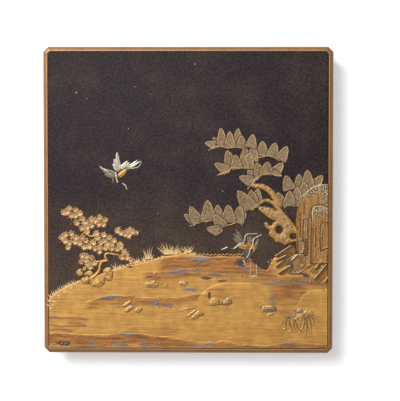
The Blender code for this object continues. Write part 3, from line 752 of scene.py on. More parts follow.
def depth_inside(x, y, outline):
    """Distance in squares from a closed outline, positive inside and negative outside."""
    loop = outline + outline[:1]
    inner = np.zeros(x.shape, dtype=bool)
    for (ax, ay), (bx, by) in zip(loop, loop[1:]):
        if ay != by:
            crossing = (bx - ax) * (y - ay) / (by - ay) + ax
            inner ^= ((ay > y) != (by > y)) & (x < crossing)
    return np.where(inner, 1, -1) * away_from_line(x, y, loop)


def bell(value, middle, half):
    """1 at the middle, falling to nearly nothing two halves away."""
    return np.exp(-((value - middle) / half) ** 2)


class Relief:
    """A fine grid over part of the sheet, lifted and painted form by form."""

    def __init__(self, left, top, right, bottom, paints, cell=0.26):
        wide, deep = (right - left) * SQUARE, (bottom - top) * SQUARE
        select_only()
        middle = spot((left + right) / 2, (top + bottom) / 2)
        bpy.ops.mesh.primitive_grid_add(x_subdivisions=round(wide / (cell * MM)),
                                        y_subdivisions=round(deep / (cell * MM)),
                                        size=1, location=(*middle, PANEL_TOP))
        self.grid = bpy.context.object
        self.grid.scale = (wide, deep, 1)
        apply_all(self.grid)
        spread = np.empty(len(self.grid.data.vertices) * 3)
        self.grid.data.vertices.foreach_get("co", spread)
        self.points = spread.reshape(-1, 3)
        self.x = self.points[:, 0] / SQUARE + SHEET_CENTRE[0]
        self.y = SHEET_CENTRE[1] - self.points[:, 1] / SQUARE
        self.rise = np.full(self.x.shape, -SUNK / MM)
        self.paint = {name: np.zeros(self.x.shape) for name in ("crease_shade", *paints)}
        self.grain = sheet_noise(self.x, self.y, 1.1, 1.1, 31)
        self.drift = sheet_noise(self.x, self.y, 3, 3, 32)

    def lay(self, deep, height, **paints):
        """Lay one form over what is there: depth inside its outline, height in mm, paints."""
        front = ease(deep, 0, 0.4)
        # Just outside the new form's edge, the lower form is sunk a little and gets painted shade.
        foot = bell(deep, -0.3, 0.55) * (1 - front) * (self.rise > 0)
        self.rise = (self.rise - 0.15 * foot) * (1 - front) + height * front
        self.paint["crease_shade"] = np.maximum(self.paint["crease_shade"], foot) * (1 - front)
        for name, values in self.paint.items():
            if name != "crease_shade":
                self.paint[name] = values * (1 - front) * (1 - foot) + paints.get(name, 0) * front

    def piece(self, finish, name, slot="lid"):
        """Cut away what lies under the panel, give the rest a skirt, and hand it over."""
        self.points[:, 2] = PANEL_TOP + self.rise * MM
        self.grid.data.vertices.foreach_set("co", self.points.ravel())
        for key, values in self.paint.items():
            layer = self.grid.data.attributes.new(key, "FLOAT", "POINT")
            layer.data.foreach_set("value", np.clip(values, 0, 1).astype(np.float32))
        select_faces(self.grid, lambda f: f.center.z < PANEL_TOP - 0.9 * SUNK)
        bpy.ops.mesh.delete(type="FACE")
        bpy.ops.mesh.select_all(action="SELECT")
        bpy.ops.mesh.region_to_loop()
        bpy.ops.mesh.extrude_region_move(TRANSFORM_OT_translate={"value": (0, 0, -0.3 * MM)})
        bpy.ops.object.mode_set(mode="OBJECT")
        stay_in_frame(self.grid)
        self.grid.data.materials.append(finish.material)
        return hand_over(self.grid, name, angle=70)


# %% [markdown]
# Pine foliage is drawn as overlapping fans of needles with a raised rim. A fan has a
# rounded, pointed outline from its foot to its tip; its needles spread from the foot.
# In each row, the first two numbers are the fan's tip, the next two its foot, and the
# last its width, all in squares, the fans at the back first. The powder on them is
# duller than the shore's; the rims are lightened with painted highlight, and the fan
# behind is darkened with painted shade along the edge of each nearer fan.

# %% Lay the pine cushions
CUSHIONS = {
    "pine_top": [
        (262, 140.2, 262.3, 155, 10.6), (275, 141.6, 271.8, 156, 10.4), (286.8, 145.4, 280, 159.2, 10),
        (245.2, 146, 245, 159, 9), (253.8, 144.6, 252, 160, 10.4), (249, 152, 248, 163, 9),
        (213.2, 136.3, 219.4, 145.8, 7.6), (205, 142.2, 215.6, 144.4, 7.2), (220.8, 127, 222.6, 146, 9.2),
        (238.2, 127.4, 236.8, 145.8, 9), (229.6, 130.4, 230.2, 146.4, 8.6), (241.9, 134.6, 241.2, 146.8, 8.2),
        (253, 133.4, 250.6, 146.6, 9.6)],
    "pine_left": [
        (250, 151, 248.4, 167.6, 9.4), (227.2, 149.2, 231.4, 168.4, 11.4), (243, 154.4, 243.4, 167.8, 9.6),
        (218.6, 174, 229, 168.6, 5), (214.7, 162.6, 227, 169.8, 8.8), (235.2, 153.6, 237, 168, 9.4)],
    "pine_middle": [
        (247.3, 169, 256, 178.6, 10), (255.8, 161.6, 261, 175, 10.4), (267.4, 160.6, 266, 173.8, 10.8),
        (282.8, 161.6, 273.6, 173, 9.8), (239, 175.6, 251, 180.6, 8.8), (281.6, 175, 272.6, 171.4, 4.8)],
    "pine_right": [
        (298.2, 172.8, 299.4, 187, 9.8), (322, 174.2, 312.6, 186, 9.8), (306.9, 168.6, 307.5, 188, 11.2),
        (282.6, 186.4, 290, 184.4, 4), (285.2, 174.2, 289, 188.8, 10.6), (304, 180.6, 303, 194, 9.8),
        (297.2, 185.8, 295.2, 205, 10.6), (277.5, 191, 281, 205.8, 11.4), (289.4, 189.2, 288.8, 204.8, 10.2)],
    "pine_low": [
        (257.6, 187.2, 257, 202, 9.4), (251, 188.6, 253, 206.6, 11.4), (237.6, 189.6, 250, 207.4, 13.2),
        (198.2, 211, 202, 220.8, 9), (184.2, 213.4, 197, 221.2, 8.8), (190.2, 205, 197.4, 220.2, 10),
        (246, 211.2, 238, 221.8, 8.8), (217.9, 203.6, 218.4, 218, 9.8), (207.7, 198.8, 208.6, 220, 12.4),
        (240.6, 204.2, 237, 221.6, 11), (228.3, 203.4, 228.8, 221, 11.8), (214.4, 213.4, 222.6, 226.6, 10.8),
        (214.6, 234.8, 221.6, 227.6, 4.8), (206.7, 227.2, 219, 229.6, 8.6)]}
NEEDLES = 62


def fan_depth(x, y, tip, foot, width):
    """Depth inside a fan's outline, and the direction of its needles."""
    run_x, run_y = tip[0] - foot[0], tip[1] - foot[1]
    length = math.hypot(run_x, run_y)
    along = ((x - foot[0]) * run_x + (y - foot[1]) * run_y) / length ** 2
    across = ((x - foot[0]) * run_y - (y - foot[1]) * run_x) / length
    share = np.clip(along, 0, 1)
    spread = 1 + 0.24 * (1 - ease(share, 0.15, 0.6))
    side = width / 2 * (1 - share ** 2.9) ** 0.66 * spread - np.abs(across)
    ends = np.minimum((1 - along) * length * 0.85, along * length + 0.7)
    return np.minimum(side, ends), np.arctan2(across, along * length + 4), share


def lay_fans(rows, rise, level, step):
    """A relief of overlapping fans, each with a rim, needles and a mottled ground."""
    reach = max(row[4] for row in rows) / 2 + 1
    xs = [row[0] for row in rows] + [row[2] for row in rows]
    ys = [row[1] for row in rows] + [row[3] for row in rows]
    relief = Relief(min(xs) - reach, min(ys) - reach, max(xs) + reach, max(ys) + reach, ("rim", "tone"))
    for index, (tip_x, tip_y, foot_x, foot_y, width) in enumerate(rows):
        deep, ray, share = fan_depth(relief.x, relief.y, (tip_x, tip_y), (foot_x, foot_y), width)
        deep = deep + 0.2 * relief.grain
        rim = bell(deep, 0.7, 0.6) * ease(share, 0.05, 0.5)
        needles = np.sin(ray * NEEDLES) * ease(deep, 0.8, 2.2)
        height = rise * (0.72 + 0.32 * rim + 0.12 * needles + 0.14 * relief.grain) + level + step * (index % 2)
        tone = 0.5 + 0.3 * needles + 0.55 * relief.grain + 0.3 * relief.drift
        relief.lay(deep, height, rim=rim * (0.8 + 0.5 * relief.grain), tone=tone)
    return relief


foliage = powdered("foliage_gold", shade(168, 140, 98), shade(134, 108, 74), rough=0.5, metal=0.25, coarse=900)
mottled = foliage.mix(foliage.attribute("tone"), shade(102, 80, 54), foliage.tone)
# Painted highlight on the rims, then painted shade along the edge of each nearer fan.
lit_rim = foliage.mix(foliage.steps(foliage.attribute("rim"), 0, 1, 0, 0.85), mottled, shade(206, 172, 122))
foliage.colour(foliage.mix(foliage.steps(foliage.attribute("crease_shade"), 0, 1, 0, 0.55), lit_rim, shade(66, 50, 36)))
for index, (cushion, rows) in enumerate(CUSHIONS.items()):
    lay_fans(rows, 0.85, 0.1 * index, 0.08).piece(foliage, cushion)

# %% Draw the twigs under the fans
TWIGS = [[(208.5, 149.6), (213, 147.2), (217, 145.9), (222, 146), (228, 147.2), (236, 146.4), (244, 147.8)],
         [(251, 166), (252.3, 160.6), (256, 157.4), (262, 156.2), (266, 155), (272, 156), (279, 160)],
         [(217, 174.4), (222, 172.4), (228, 170.2), (231.5, 166.8), (240, 167), (250, 167)],
         [(247.5, 185.2), (250, 181), (256, 177), (262, 173.6), (270, 172.2), (276, 173.2), (281.5, 175.4)],
         [(190, 225.2), (196, 222.2), (201, 220.2), (207, 220.4), (212.5, 218)],
         [(215, 235), (219, 229.2), (226, 224.8), (233, 222.6), (238, 219.8), (243, 216.4)],
         [(280, 163.4), (282.6, 162.6)], [(249, 186), (247.4, 188)], [(283, 207), (288, 204), (293, 202)]]
twig_gold = powdered("twig_gold", shade(222, 170, 88), shade(180, 130, 66), rough=0.4, metal=0.45)
dice = random.Random(11)
twigs = joined([raised_line(path, (0.7, 1.4, 1.1, 1.5, 1.0), 1.15) for path in TWIGS])
twigs.data.materials.append(twig_gold.material)
hand_over(twigs, "pine_twigs", angle=60)

# %% [markdown]
# The old trunk leans out from behind the crag: a thick bent stem, an arched branch
# over it, and a knobbly root with holes. Stems are strokes with a width that varies,
# the root is an outline, and the deepest of them counts where they meet. Flecks of
# grey blue, as of lichen, are laid along the wood.

# %% Grow the trunk
STROKES = [([(253, 184.4), (258, 185), (263, 185.6), (267.6, 188.2), (271.6, 191.8), (274.6, 196.6), (278, 203)],
            (5, 6.4, 6.8, 7, 7)),
           ([(250.4, 208.2), (254, 206), (258.6, 202.6), (263.6, 199.4), (268, 199.2), (272.4, 201.6),
             (276.8, 205.6), (281, 210.4)], (3.2, 4, 4.2, 4.6, 5)),
           ([(260.4, 207.6), (265, 209), (271, 212), (278, 214.6), (284, 219.6), (289, 224.6), (295, 231)],
            (5.4, 8.8, 11.6, 12.8, 12.2, 10.4, 9)),
           ([(283, 213.2), (286.8, 208.4)], (2.2, 0.5)), ([(251, 208.6), (253.4, 208.4)], (2.6, 2.8))]
ROOT = [(264, 224), (263.6, 222.6), (264.9, 220.3), (267.1, 219.8), (268.4, 221.4), (268.8, 223.4), (271, 223.4),
        (272.3, 221.2), (274.4, 219.8), (280, 218), (288, 222), (296, 228), (300, 233), (300, 240.6),
        (295.7, 240.6), (289.2, 242.2), (286.6, 243), (284.9, 244.6), (282.7, 243.4), (279.7, 241.7),
        (276.2, 241.7), (273.6, 240), (273.2, 237.4), (270.5, 236.1), (268.4, 233.9), (267.9, 231.3),
        (268.6, 228.9), (266.2, 228.3), (264.6, 226.1)]
GAPS = [(278.8, 228.2, 3.1, 3.5, 1), (292.8, 235, 3.1, 2.5, 1), (274.9, 208.4, 2.5, 1.5, 0.75),
        (262.7, 207.9, 0.9, 0.9, 0.6), (292.2, 225.9, 0.9, 0.9, 0.5), (264, 203.2, 4, 0.6, 0.9)]
# Each fleck: its place, its half length and half width, and its turn in degrees.
FLECKS = [(264.9, 184.2, 1.6, 1, 20), (258.4, 186.5, 1.2, 1, 0), (266.2, 191, 1.2, 0.7, 40), (271.4, 188.9, 0.9, 0.9, 0),
          (270.5, 196.6, 1.1, 0.7, 60), (265.4, 205.9, 3, 0.9, -10), (269.2, 208.9, 1.7, 1.1, 80),
          (271.9, 214.9, 1.6, 1, 30), (275.3, 216.6, 1.4, 0.8, 20), (278.4, 212.7, 1.6, 0.8, 30),
          (283.1, 217.9, 1.5, 1.2, 50), (287.5, 226, 2.9, 1, 62), (282.6, 237.2, 2.7, 1, 70),
          (274.9, 233.5, 1.5, 0.8, 80), (271, 232.6, 0.8, 0.8, 0), (289.6, 222.7, 1, 0.8, 30),
          (296.1, 227, 1.6, 0.8, 80), (277.6, 222.6, 1.2, 0.7, 40), (286, 232, 1.4, 0.7, 70)]


def oval_share(x, y, place_x, place_y, half_long, half_wide, degrees=0):
    """0 at the middle of an oval, 1 on its edge."""
    turn = math.radians(degrees)
    along = (x - place_x) * math.cos(turn) + (y - place_y) * math.sin(turn)
    across = (y - place_y) * math.cos(turn) - (x - place_x) * math.sin(turn)
    return np.hypot(along / half_long, across / half_wide)


trunk = Relief(246, 179, 301, 247, ("lichen", "tone", "edge"))
x, y = trunk.x, trunk.y
deep = depth_inside(x, y, ROOT)
for path, widths in STROKES:
    deep = np.maximum(deep, -away_from_line(x, y, path, widths))
deep += 0.25 * trunk.grain + 0.35 * trunk.drift * ease(y, 196, 204)
pits = np.zeros(x.shape)
for gap_x, gap_y, half_x, half_y, strength in GAPS:
    reach = 1 - oval_share(x, y, gap_x, gap_y, half_x, half_y)
    if strength == 1:
        deep = np.minimum(deep, -reach * min(half_x, half_y))
    else:
        pits = np.maximum(pits, strength * ease(reach + 0.1 * trunk.grain, 0, 0.4))
lichen = np.zeros(x.shape)
for fleck in FLECKS:
    lichen = np.maximum(lichen, ease(1.3 - oval_share(x, y, *fleck) + 0.2 * trunk.grain, 0, 0.4))
gnarl = sheet_noise((x + y) * 0.7, (x - y) * 0.7, 1.6, 4.5, 33)
height = 1.35 * (1 - np.exp(-np.maximum(deep, 0) / 1.3)) + 0.14 * gnarl + 0.1 * trunk.grain
height += 0.2 * bell(deep, 1, 0.7) - 0.9 * pits
# The edge paint is painted shade along the trunk's outline and in its sunk pits.
trunk.lay(deep, height, lichen=lichen * (1 - pits), tone=0.5 + 0.5 * gnarl + 0.3 * trunk.grain,
          edge=np.maximum(bell(deep, 0.25, 0.4) * 0.7, pits))
bark = powdered("bark_gold", shade(198, 152, 74), shade(170, 126, 62), rough=0.46, metal=0.3, coarse=500)
grown = bark.mix(bark.attribute("tone"), shade(150, 108, 56), bark.tone)
mossed = bark.mix(bark.steps(bark.attribute("lichen"), 0, 1, 0, 0.85), grown, shade(104, 102, 108))
# The edge paint darkens the bark with painted shade.
bark.colour(bark.mix(bark.attribute("edge"), mossed, shade(76, 56, 40)))
trunk.piece(bark, "pine_trunk")
silvery = powdered("silver_powder", shade(226, 218, 204), shade(176, 160, 136), rough=0.36, metal=0.3)
SILVER_TOUCHES = [[(249.5, 185.5), (252, 182.6), (255, 181)], [(251.5, 182.6), (254.6, 179.6), (258.4, 177.6)],
                  [(256, 178), (259.4, 176)]]

# %% [markdown]
# The crag at the right edge is a bundle of stone columns. Each column is an outline
# with a round head, the nearest laid last; noise that is short across and long
# downwards cuts the upright furrows. Paints give a painted highlight along the edge
# of each head, painted shade along each column's outline and in the crevices, the
# silver and lead powder strewn over it, and streaks of violet grey. Split slabs lie
# round its foot: their far edge is a line of painted highlight from which the slab
# slopes down, darkened with painted shade just behind it.

# %% Rock finish and helpers
def rocky(name, thick, thin, dark, edge):
    """Gold rock with painted highlight on its edges, strewn heads, violet streaks and painted shade in its creases."""
    rock = powdered(name, thick, thin, rough=0.44, metal=0.3, coarse=300)
    toned = rock.mix(rock.attribute("tone"), dark, rock.tone)
    pepper = rock.steps(rock.noise(800, detail=1), 0.46, 0.53)
    strewn = rock.mix(pepper, shade(50, 42, 36), shade(168, 150, 112))
    headed = rock.mix(rock.steps(rock.attribute("salt"), 0, 1, 0, 0.85), toned, strewn)
    greyed = rock.mix(rock.attribute("violet"), headed, shade(88, 78, 84))
    edged = rock.mix(rock.attribute("pale"), greyed, edge)
    rock.colour(rock.mix(rock.steps(rock.attribute("crease_shade"), 0, 1, 0, 0.8), edged, shade(66, 46, 32)))
    return rock


def lay_slab(relief, outline, rise, level=0.0, pale=1.0, cuts=0.3):
    """A split slab: the first two places of its outline are its far edge, lit with painted highlight; just behind it
    the slab is darkened with painted shade.
    """
    x, y = relief.x, relief.y
    deep = depth_inside(x, y, outline) + 0.15 * relief.drift
    (ax, ay), (bx, by) = outline[:2]
    from_edge = away_from_line(x, y, [(ax, ay), (bx, by)])
    along = ((x - ax) * (bx - ax) + (y - ay) * (by - ay)) / math.hypot(bx - ax, by - ay)
    ticks = np.sin(along * 2 * math.pi / 1.5 + 0.8 * relief.drift) * ease(from_edge, 1, 2)
    height = level + rise * (0.55 + 0.6 * bell(from_edge, 0.5, 0.9) - 0.03 * from_edge) + 0.12 * ticks
    tone = 0.95 - 0.5 * ease(from_edge, 0.6, 1.6) * (1 - ease(from_edge, 3, 6)) - cuts * (0.5 + 0.5 * ticks)
    relief.lay(deep, height, pale=pale * bell(from_edge, 0.5, 0.55) * ease(deep, 0, 0.3),
               tone=tone + 0.2 * relief.grain)


def lay_stone(relief, outline, rise, level=0.0, violet=0.0):
    """A worn stone: domed, with painted highlight on its far side, painted shade along the foot of its near side, a
    sunk line inside its outline that is darker on the far side, and violet grey that is fainter on the far side.
    """
    x, y = relief.x, relief.y
    deep = depth_inside(x, y, outline) + 0.3 + 0.3 * relief.drift + 0.12 * relief.grain
    centre_x = sum(place[0] for place in outline) / len(outline)
    centre_y = sum(place[1] for place in outline) / len(outline)
    lit = ease((centre_x - x) * 0.6 + (centre_y - y), -0.6, 1.6)
    height = level + rise * (1 - np.exp(-np.maximum(deep, 0) / 0.9)) + 0.2 * relief.drift + 0.1 * relief.grain
    height -= 0.12 * bell(deep, 2.1, 0.5)
    tone = 0.85 + 0.3 * relief.grain + 0.3 * relief.drift - 0.35 * bell(deep, 1.9, 0.4) * lit
    tone -= 0.9 * bell(deep, 0.1, 0.5) * (1 - lit)
    pale = 0.75 * bell(deep, 0.6, 0.45) * lit * (0.8 + 0.5 * relief.drift)
    relief.lay(deep, height, pale=pale, tone=tone, violet=violet * (1 - lit * 0.6))


ROCK_PAINTS = ("pale", "salt", "violet", "tone")
rock = rocky("crag_gold", shade(186, 136, 60), shade(156, 110, 50), shade(112, 76, 38), shade(226, 210, 174))
split_rock = rocky("slab_gold", shade(178, 130, 60), shade(140, 98, 48), shade(88, 60, 34), shade(232, 204, 148))

# %% Raise the crag
COLUMNS = [
    [(296.6, 252), (295.4, 246), (295, 238), (296.4, 230), (294.8, 222), (295.8, 213.9), (296.3, 208), (297.7, 203.6),
     (299.6, 199.6), (299.2, 196.6), (300.9, 194), (305, 191.2), (307, 188.8), (309.9, 186.8), (313.7, 184.6),
     (319.6, 183), (332, 182.4), (332, 262), (318, 262), (306, 266), (300, 260)],
    [(303.6, 254), (302.6, 236), (303.2, 221), (303.6, 219), (305.6, 217.8), (307.2, 220), (307.4, 236), (307, 254)],
    [(310.8, 262), (310.6, 240), (311.4, 222), (310.9, 212), (311.3, 207.6), (313, 205), (316, 204), (321, 204),
     (326, 206), (332, 207), (332, 262)],
    [(298, 252), (298, 243), (299, 240.4), (301.4, 239.8), (303.6, 241), (304, 246), (303, 252)],
    [(320.4, 250), (319.6, 240), (320, 226), (322, 222), (326, 221.6), (332, 223), (332, 246), (324, 247.6)]]
COLUMN_LEVELS = [(1.2, 1.0), (1.4, 0.3), (1.5, 0.8), (1.4, 0.3), (1.7, 0.15)]
VIOLET_STREAKS = [([(308.4, 209), (308.2, 217)], 1.6), ([(306, 219), (305.6, 225)], 1.6), ([(318, 212), (318.4, 222)], 0.5),
                  ([(322, 228), (321.6, 240)], 1), ([(304.8, 232), (304.8, 240)], 0.7)]
CREVICES = [([(305.6, 238), (305.7, 251), (304.8, 255)], 0.7), ([(297.4, 226), (297.6, 240)], 0.5),
            ([(315.4, 226), (315, 246)], 0.3), ([(300.4, 212), (300, 236)], 0.4), ([(303.6, 200), (303.6, 214)], 0.3)]
crag = Relief(292, 180, 328, 268, ROCK_PAINTS)
x, y = crag.x, crag.y
furrow = 0.6 * sheet_noise(x, y, 1.4, 20, 22) + 0.4 * sheet_noise(x, y, 0.7, 9, 23)
for index, (outline, (level, pale_share)) in enumerate(zip(COLUMNS, COLUMN_LEVELS)):
    deep = depth_inside(x, y, outline) + 0.3 * crag.drift + 0.15 * crag.grain
    top = min(place[1] for place in outline)
    near_top = 1 - ease(y, top + 7, top + 24)
    lit = ease(deep, 3, 1.2) if index == 0 else 1
    # pale: painted highlight along the head of each column, weaker lower down and towards the right.
    pale = pale_share * bell(deep + 0.2 * crag.grain, 0.85, 0.7) * near_top * (0.85 + 0.6 * crag.drift)
    salt = np.zeros(x.shape)
    if index == 0:
        pale *= (0.55 + 0.45 * (1 - ease(y, 192, 197))) * (1 - 0.7 * ease(x, 319, 324))
        band = ease(deep, 0.8, 1.8) * (1 - ease(deep, 6.5, 9.5)) * (1 - ease(y, 190, 203))
        right_side = ease(x, 320.4, 322.4) * (1 - ease(y, 197, 205)) * ease(deep, 0.8, 1.6)
        salt = np.maximum(band, right_side)
    if index == 2:
        salt = ease(deep, 0.8, 1.6) * (1 - ease(y, 208, 219))
    height = level + 0.3 * bell(deep, 0.9, 0.7) + 0.3 * furrow + 0.1 * crag.grain
    # The tone is darkened along each column's outline: painted shade.
    tone = 0.62 + 0.55 * furrow + 0.15 * crag.grain - 0.35 * bell(deep, 0, 0.7)
    crag.lay(deep, height, pale=pale, salt=salt, tone=tone)
for path, width in VIOLET_STREAKS:
    streak = ease(-away_from_line(x, y, path, (width * 0.6, width)) + 0.3 * crag.grain, -0.5, 0.4)
    crag.paint["violet"] = np.maximum(crag.paint["violet"], 0.75 * streak * (crag.rise > 0))
# Crevices are cut down and darkened with painted shade.
for path, width in CREVICES:
    cut = ease(-away_from_line(x, y, path, (width,)), -0.5, 0.1) * (crag.rise > 0)
    crag.rise -= 0.5 * cut
    crag.paint["crease_shade"] = np.maximum(crag.paint["crease_shade"], 0.7 * cut)
warm_patch = ease(1.2 - oval_share(x, y, 316.6, 196.4, 4.4, 5.4), 0, 0.5)
crag.paint["salt"] *= 1 - warm_patch
crag.paint["tone"] = crag.paint["tone"] * (1 - 0.5 * warm_patch) + 0.25 * warm_patch
crag.piece(rock, "gold_crag")

# %% Split slabs round its foot
HUMP = [(289.9, 258.6), (293.3, 255.3), (295.8, 252.7), (297.5, 252), (302.4, 252.4), (304.6, 254.8), (305.4, 259),
        (305, 263), (302, 266), (309, 264.6), (312, 264), (305, 268.4), (300.8, 271.4), (297.4, 273.2), (288, 272.6),
        (286, 266)]
FOOT_SLABS = [([(274.1, 254), (290.3, 243.3), (294.4, 244.6), (296, 250), (293, 254.6), (284, 255), (277, 257)], 1.2, 0.2),
              ([(274.5, 258.4), (284.8, 253.2), (291, 252), (291, 256), (284, 258.4), (276.4, 261.4)], 1.1, 0.3),
              ([(275.4, 263.5), (281.9, 258.7), (291, 256), (293, 260), (286, 264.4), (278.9, 267.7), (276, 267.5)], 1.1, 0.35),
              ([(277.3, 271), (289.9, 262.9), (291.6, 263.5), (292.5, 266.6), (291.6, 269.1), (281, 274.2), (278.9, 272.9)],
               1.2, 0.5),
              ([(314.2, 266.6), (320, 257.6), (321, 256), (326.6, 253), (328, 262), (322, 264), (316.6, 269.4)], 1.2, 0.3),
              ([(316, 271.2), (321.6, 263.2), (324, 262.6), (322, 267), (317.4, 272)], 1.1, 0.4),
              ([(312.8, 277), (325, 262), (328, 262), (328, 272), (326.5, 273.4), (321, 279.4), (318.9, 281.5), (315.4, 281)],
               1.1, 0.5),
              ([(322.7, 280.5), (327, 274.6), (328, 276), (328, 280), (324.6, 282.4)], 1.0, 0.5)]
STICKS = [((309.6, 269.4), (313.4, 271.4)), ((310.6, 268), (315, 270)), ((312, 266.6), (316, 268.6)),
          ((311.8, 272), (314.6, 269)), ((313.6, 273), (316.4, 270.4))]
feet = Relief(271, 241, 328, 284, ROCK_PAINTS)
x, y = feet.x, feet.y
for outline, rise, level in FOOT_SLABS[:3]:
    lay_slab(feet, outline, rise, level)
deep = depth_inside(x, y, HUMP) + 0.2 * feet.drift
hood = ease(deep, 0.9, 1.5) * (1 - ease(deep + 0.5 * feet.drift, 3.4, 4.6)) * (1 - ease(y, 261, 265))
mouth = bell(oval_share(x, y, 299.6, 261.6, 1.6, 1.6), 0, 0.8)
# The pale crown line is painted highlight along the hump's far edge, fading to the right; its outline is darkened with
# painted shade.
crown_line = bell(deep, 0.7, 0.55) * (1 - ease(y, 257, 259.4))
feet.lay(deep, 1.0 + 0.35 * bell(deep, 0.9, 0.8) + 0.1 * feet.grain - 0.2 * mouth,
         pale=crown_line * (1 - 0.6 * ease(x, 297, 303)), violet=0.9 * hood,
         tone=0.7 + 0.25 * feet.drift + 0.15 * feet.grain - 0.4 * bell(deep, 0, 0.8))
for outline, rise, level in FOOT_SLABS[3:]:
    lay_slab(feet, outline, rise, level)
for ends in STICKS:
    deep = -away_from_line(x, y, list(ends), (1.1,))
    # Each stick gets a faint painted highlight along its edges.
    feet.lay(deep, 1.2 + 0.2 * deep, pale=0.35 * bell(deep, 0.5, 0.4), tone=0.9)
feet.piece(split_rock, "split_slabs")

# %% [markdown]
# Stones lie round the bush and over the shore, one or a few together. They are gold
# like the ground, so that only the painted highlight on their far edge and the painted
# shade along the foot of their near side tell them from it. Each is an outline of a few
# places that noise makes uneven.

# %% Lay the stones
STONE_GROUPS = {
    "stones_by_bush": [
        ([(84, 271), (90, 269.6), (94.6, 272), (92.6, 276.4), (86, 276)], 0.8, 0.2),
        ([(76.5, 271), (78.5, 268.4), (82, 267.6), (84, 270.6), (83, 274.6), (79, 275.4)], 1.2, 0),
        ([(82.5, 269), (84, 265.8), (87, 265.6), (88, 268.6), (85.4, 270.8)], 1.3, 0),
        ([(103, 269.6), (106, 266.8), (110.5, 266.2), (113.4, 270), (113.6, 275), (112, 279.2), (107, 279.8),
          (104.4, 277), (105.6, 273)], 1.3, 0),
        ([(87.4, 283), (89.4, 279), (92.2, 278.8), (91.6, 284)], 1.0, 0),
        ([(80.4, 279.6), (83, 276.4), (88, 275.4), (89.8, 278.6), (88, 283), (83.6, 283)], 1.3, 0),
        ([(91.6, 284.6), (95, 279.4), (99, 276), (103.2, 275.6), (105.8, 279), (104.8, 283.4), (99, 286.2), (94, 286)],
         1.4, 0)],
    "stones_left": [
        ([(144.4, 283.6), (147.6, 280.2), (155, 279.4), (158.8, 282), (158, 285.8), (153, 287), (146.6, 285.4)], 1.0, 0),
        ([(164.4, 284.4), (165.6, 282.8), (168, 283), (168.6, 284.8), (166, 285.6)], 0.7, 0),
        ([(178.4, 281.8), (181, 279.6), (186, 279.4), (188.6, 281.8), (185, 284.4), (180, 284)], 1.0, 0),
        ([(152.8, 272.4), (153.6, 270.6), (156.2, 270.6), (156.8, 273), (154.6, 274)], 0.7, 0),
        ([(121.4, 304.6), (130, 298.8), (132.4, 300.8), (127, 305), (122.6, 306.4)], 1.0, 0),
        ([(124.2, 309.4), (130.6, 304), (134, 304.8), (133.4, 307.4), (129.6, 310.6), (126, 311.6)], 1.0, 0),
        ([(134.8, 309), (138, 305.4), (142, 306), (142.8, 309), (139, 311.8), (135.8, 311.4)], 1.0, 0)],
    "stones_middle": [
        ([(179, 308.6), (186, 306.2), (197, 305), (197.4, 306.6), (188, 308.4), (180, 309.8)], 0.7, 0),
        ([(186, 316), (190, 311), (196, 308), (197, 309.4), (191.4, 314), (187, 317)], 0.8, 0),
        ([(190.6, 317.4), (195, 311.6), (199, 308.6), (205, 312.8), (202, 314.8), (194, 318)], 1.0, 0),
        ([(218, 303.6), (219, 299.4), (224, 299.6), (224.4, 303.4)], 0.8, 0),
        ([(209, 301.6), (212, 297.8), (214.6, 296), (219.6, 299), (219, 303), (214, 304.4), (210, 303.6)], 1.1, 0),
        ([(223, 301), (225, 297.4), (229.4, 296.4), (232.2, 299), (231.4, 302.6), (227.6, 304.4), (224, 303.6)], 1.1, 0.45)],
    "stones_right": [
        ([(260.4, 308.4), (263, 304.8), (270, 304), (276.4, 306.4), (277, 309.4), (270, 311), (263, 310.8)], 0.7, 0.7),
        ([(266, 314.4), (269, 311.6), (274.6, 311.8), (272, 314.4)], 0.5, 0),
        ([(294.4, 317.6), (297, 312.6), (303, 312.4), (306, 316), (302, 319), (296.6, 319)], 0.8, 0),
        ([(302.6, 311), (306, 308.4), (312, 310), (313, 313.6), (308, 315), (303.6, 314)], 0.8, 0),
        ([(296, 309.6), (298.6, 306.6), (302.4, 307.4), (302, 311), (298, 311.4)], 0.7, 0.4)]}
stone_gold = rocky("stone_gold", shade(202, 154, 76), shade(176, 128, 62), shade(104, 72, 40), shade(240, 216, 164))
for name, group in STONE_GROUPS.items():
    xs = [place[0] for outline, _, _ in group for place in outline]
    ys = [place[1] for outline, _, _ in group for place in outline]
    stones = Relief(min(xs) - 2, min(ys) - 2, max(xs) + 2, max(ys) + 2, ROCK_PAINTS)
    for outline, rise, violet in group:
        lay_stone(stones, outline, rise, 0.3 if name != "stones_by_bush" else 0.15, violet)
    stones.piece(stone_gold, name)

# %% [markdown]
# The bush at the left has small pointed leaves, red drops of lacquer for berries and
# a twisted stem between stones. One leaf is modelled: a ring whose every other point
# is drawn in, extruded upwards, inset for a bevelled edge and poked, so that a vein
# runs out to each tip. It is copied for every leaf, turned by chance.

# %% Helpers for copies of a small model
def copy_of(model, matrix, **painted):
    """A copy with its own mesh, put in place, with attributes that hold one number."""
    twin = model.copy()
    twin.data = model.data.copy()
    bpy.context.collection.objects.link(twin)
    twin.matrix_world = Matrix()
    twin.data.transform(matrix)
    for name, value in painted.items():
        layer = twin.data.attributes.new(name, "FLOAT", "POINT")
        layer.data.foreach_set("value", [value] * len(twin.data.vertices))
    return twin


def stretched(foot, tip, width, rise, level=0.0):
    """Matrix that takes a model of length and width 1 from a foot to a tip on the sheet."""
    start, end = Vector(spot(*foot)), Vector(spot(*tip))
    along = end - start
    turn = Matrix.Rotation(math.atan2(along.y, along.x) - math.pi / 2, 4, "Z")
    size = Matrix.Diagonal((width * SQUARE, along.length, rise * MM, 1))
    return Matrix.Translation((*start, PANEL_TOP + level * MM)) @ turn @ size


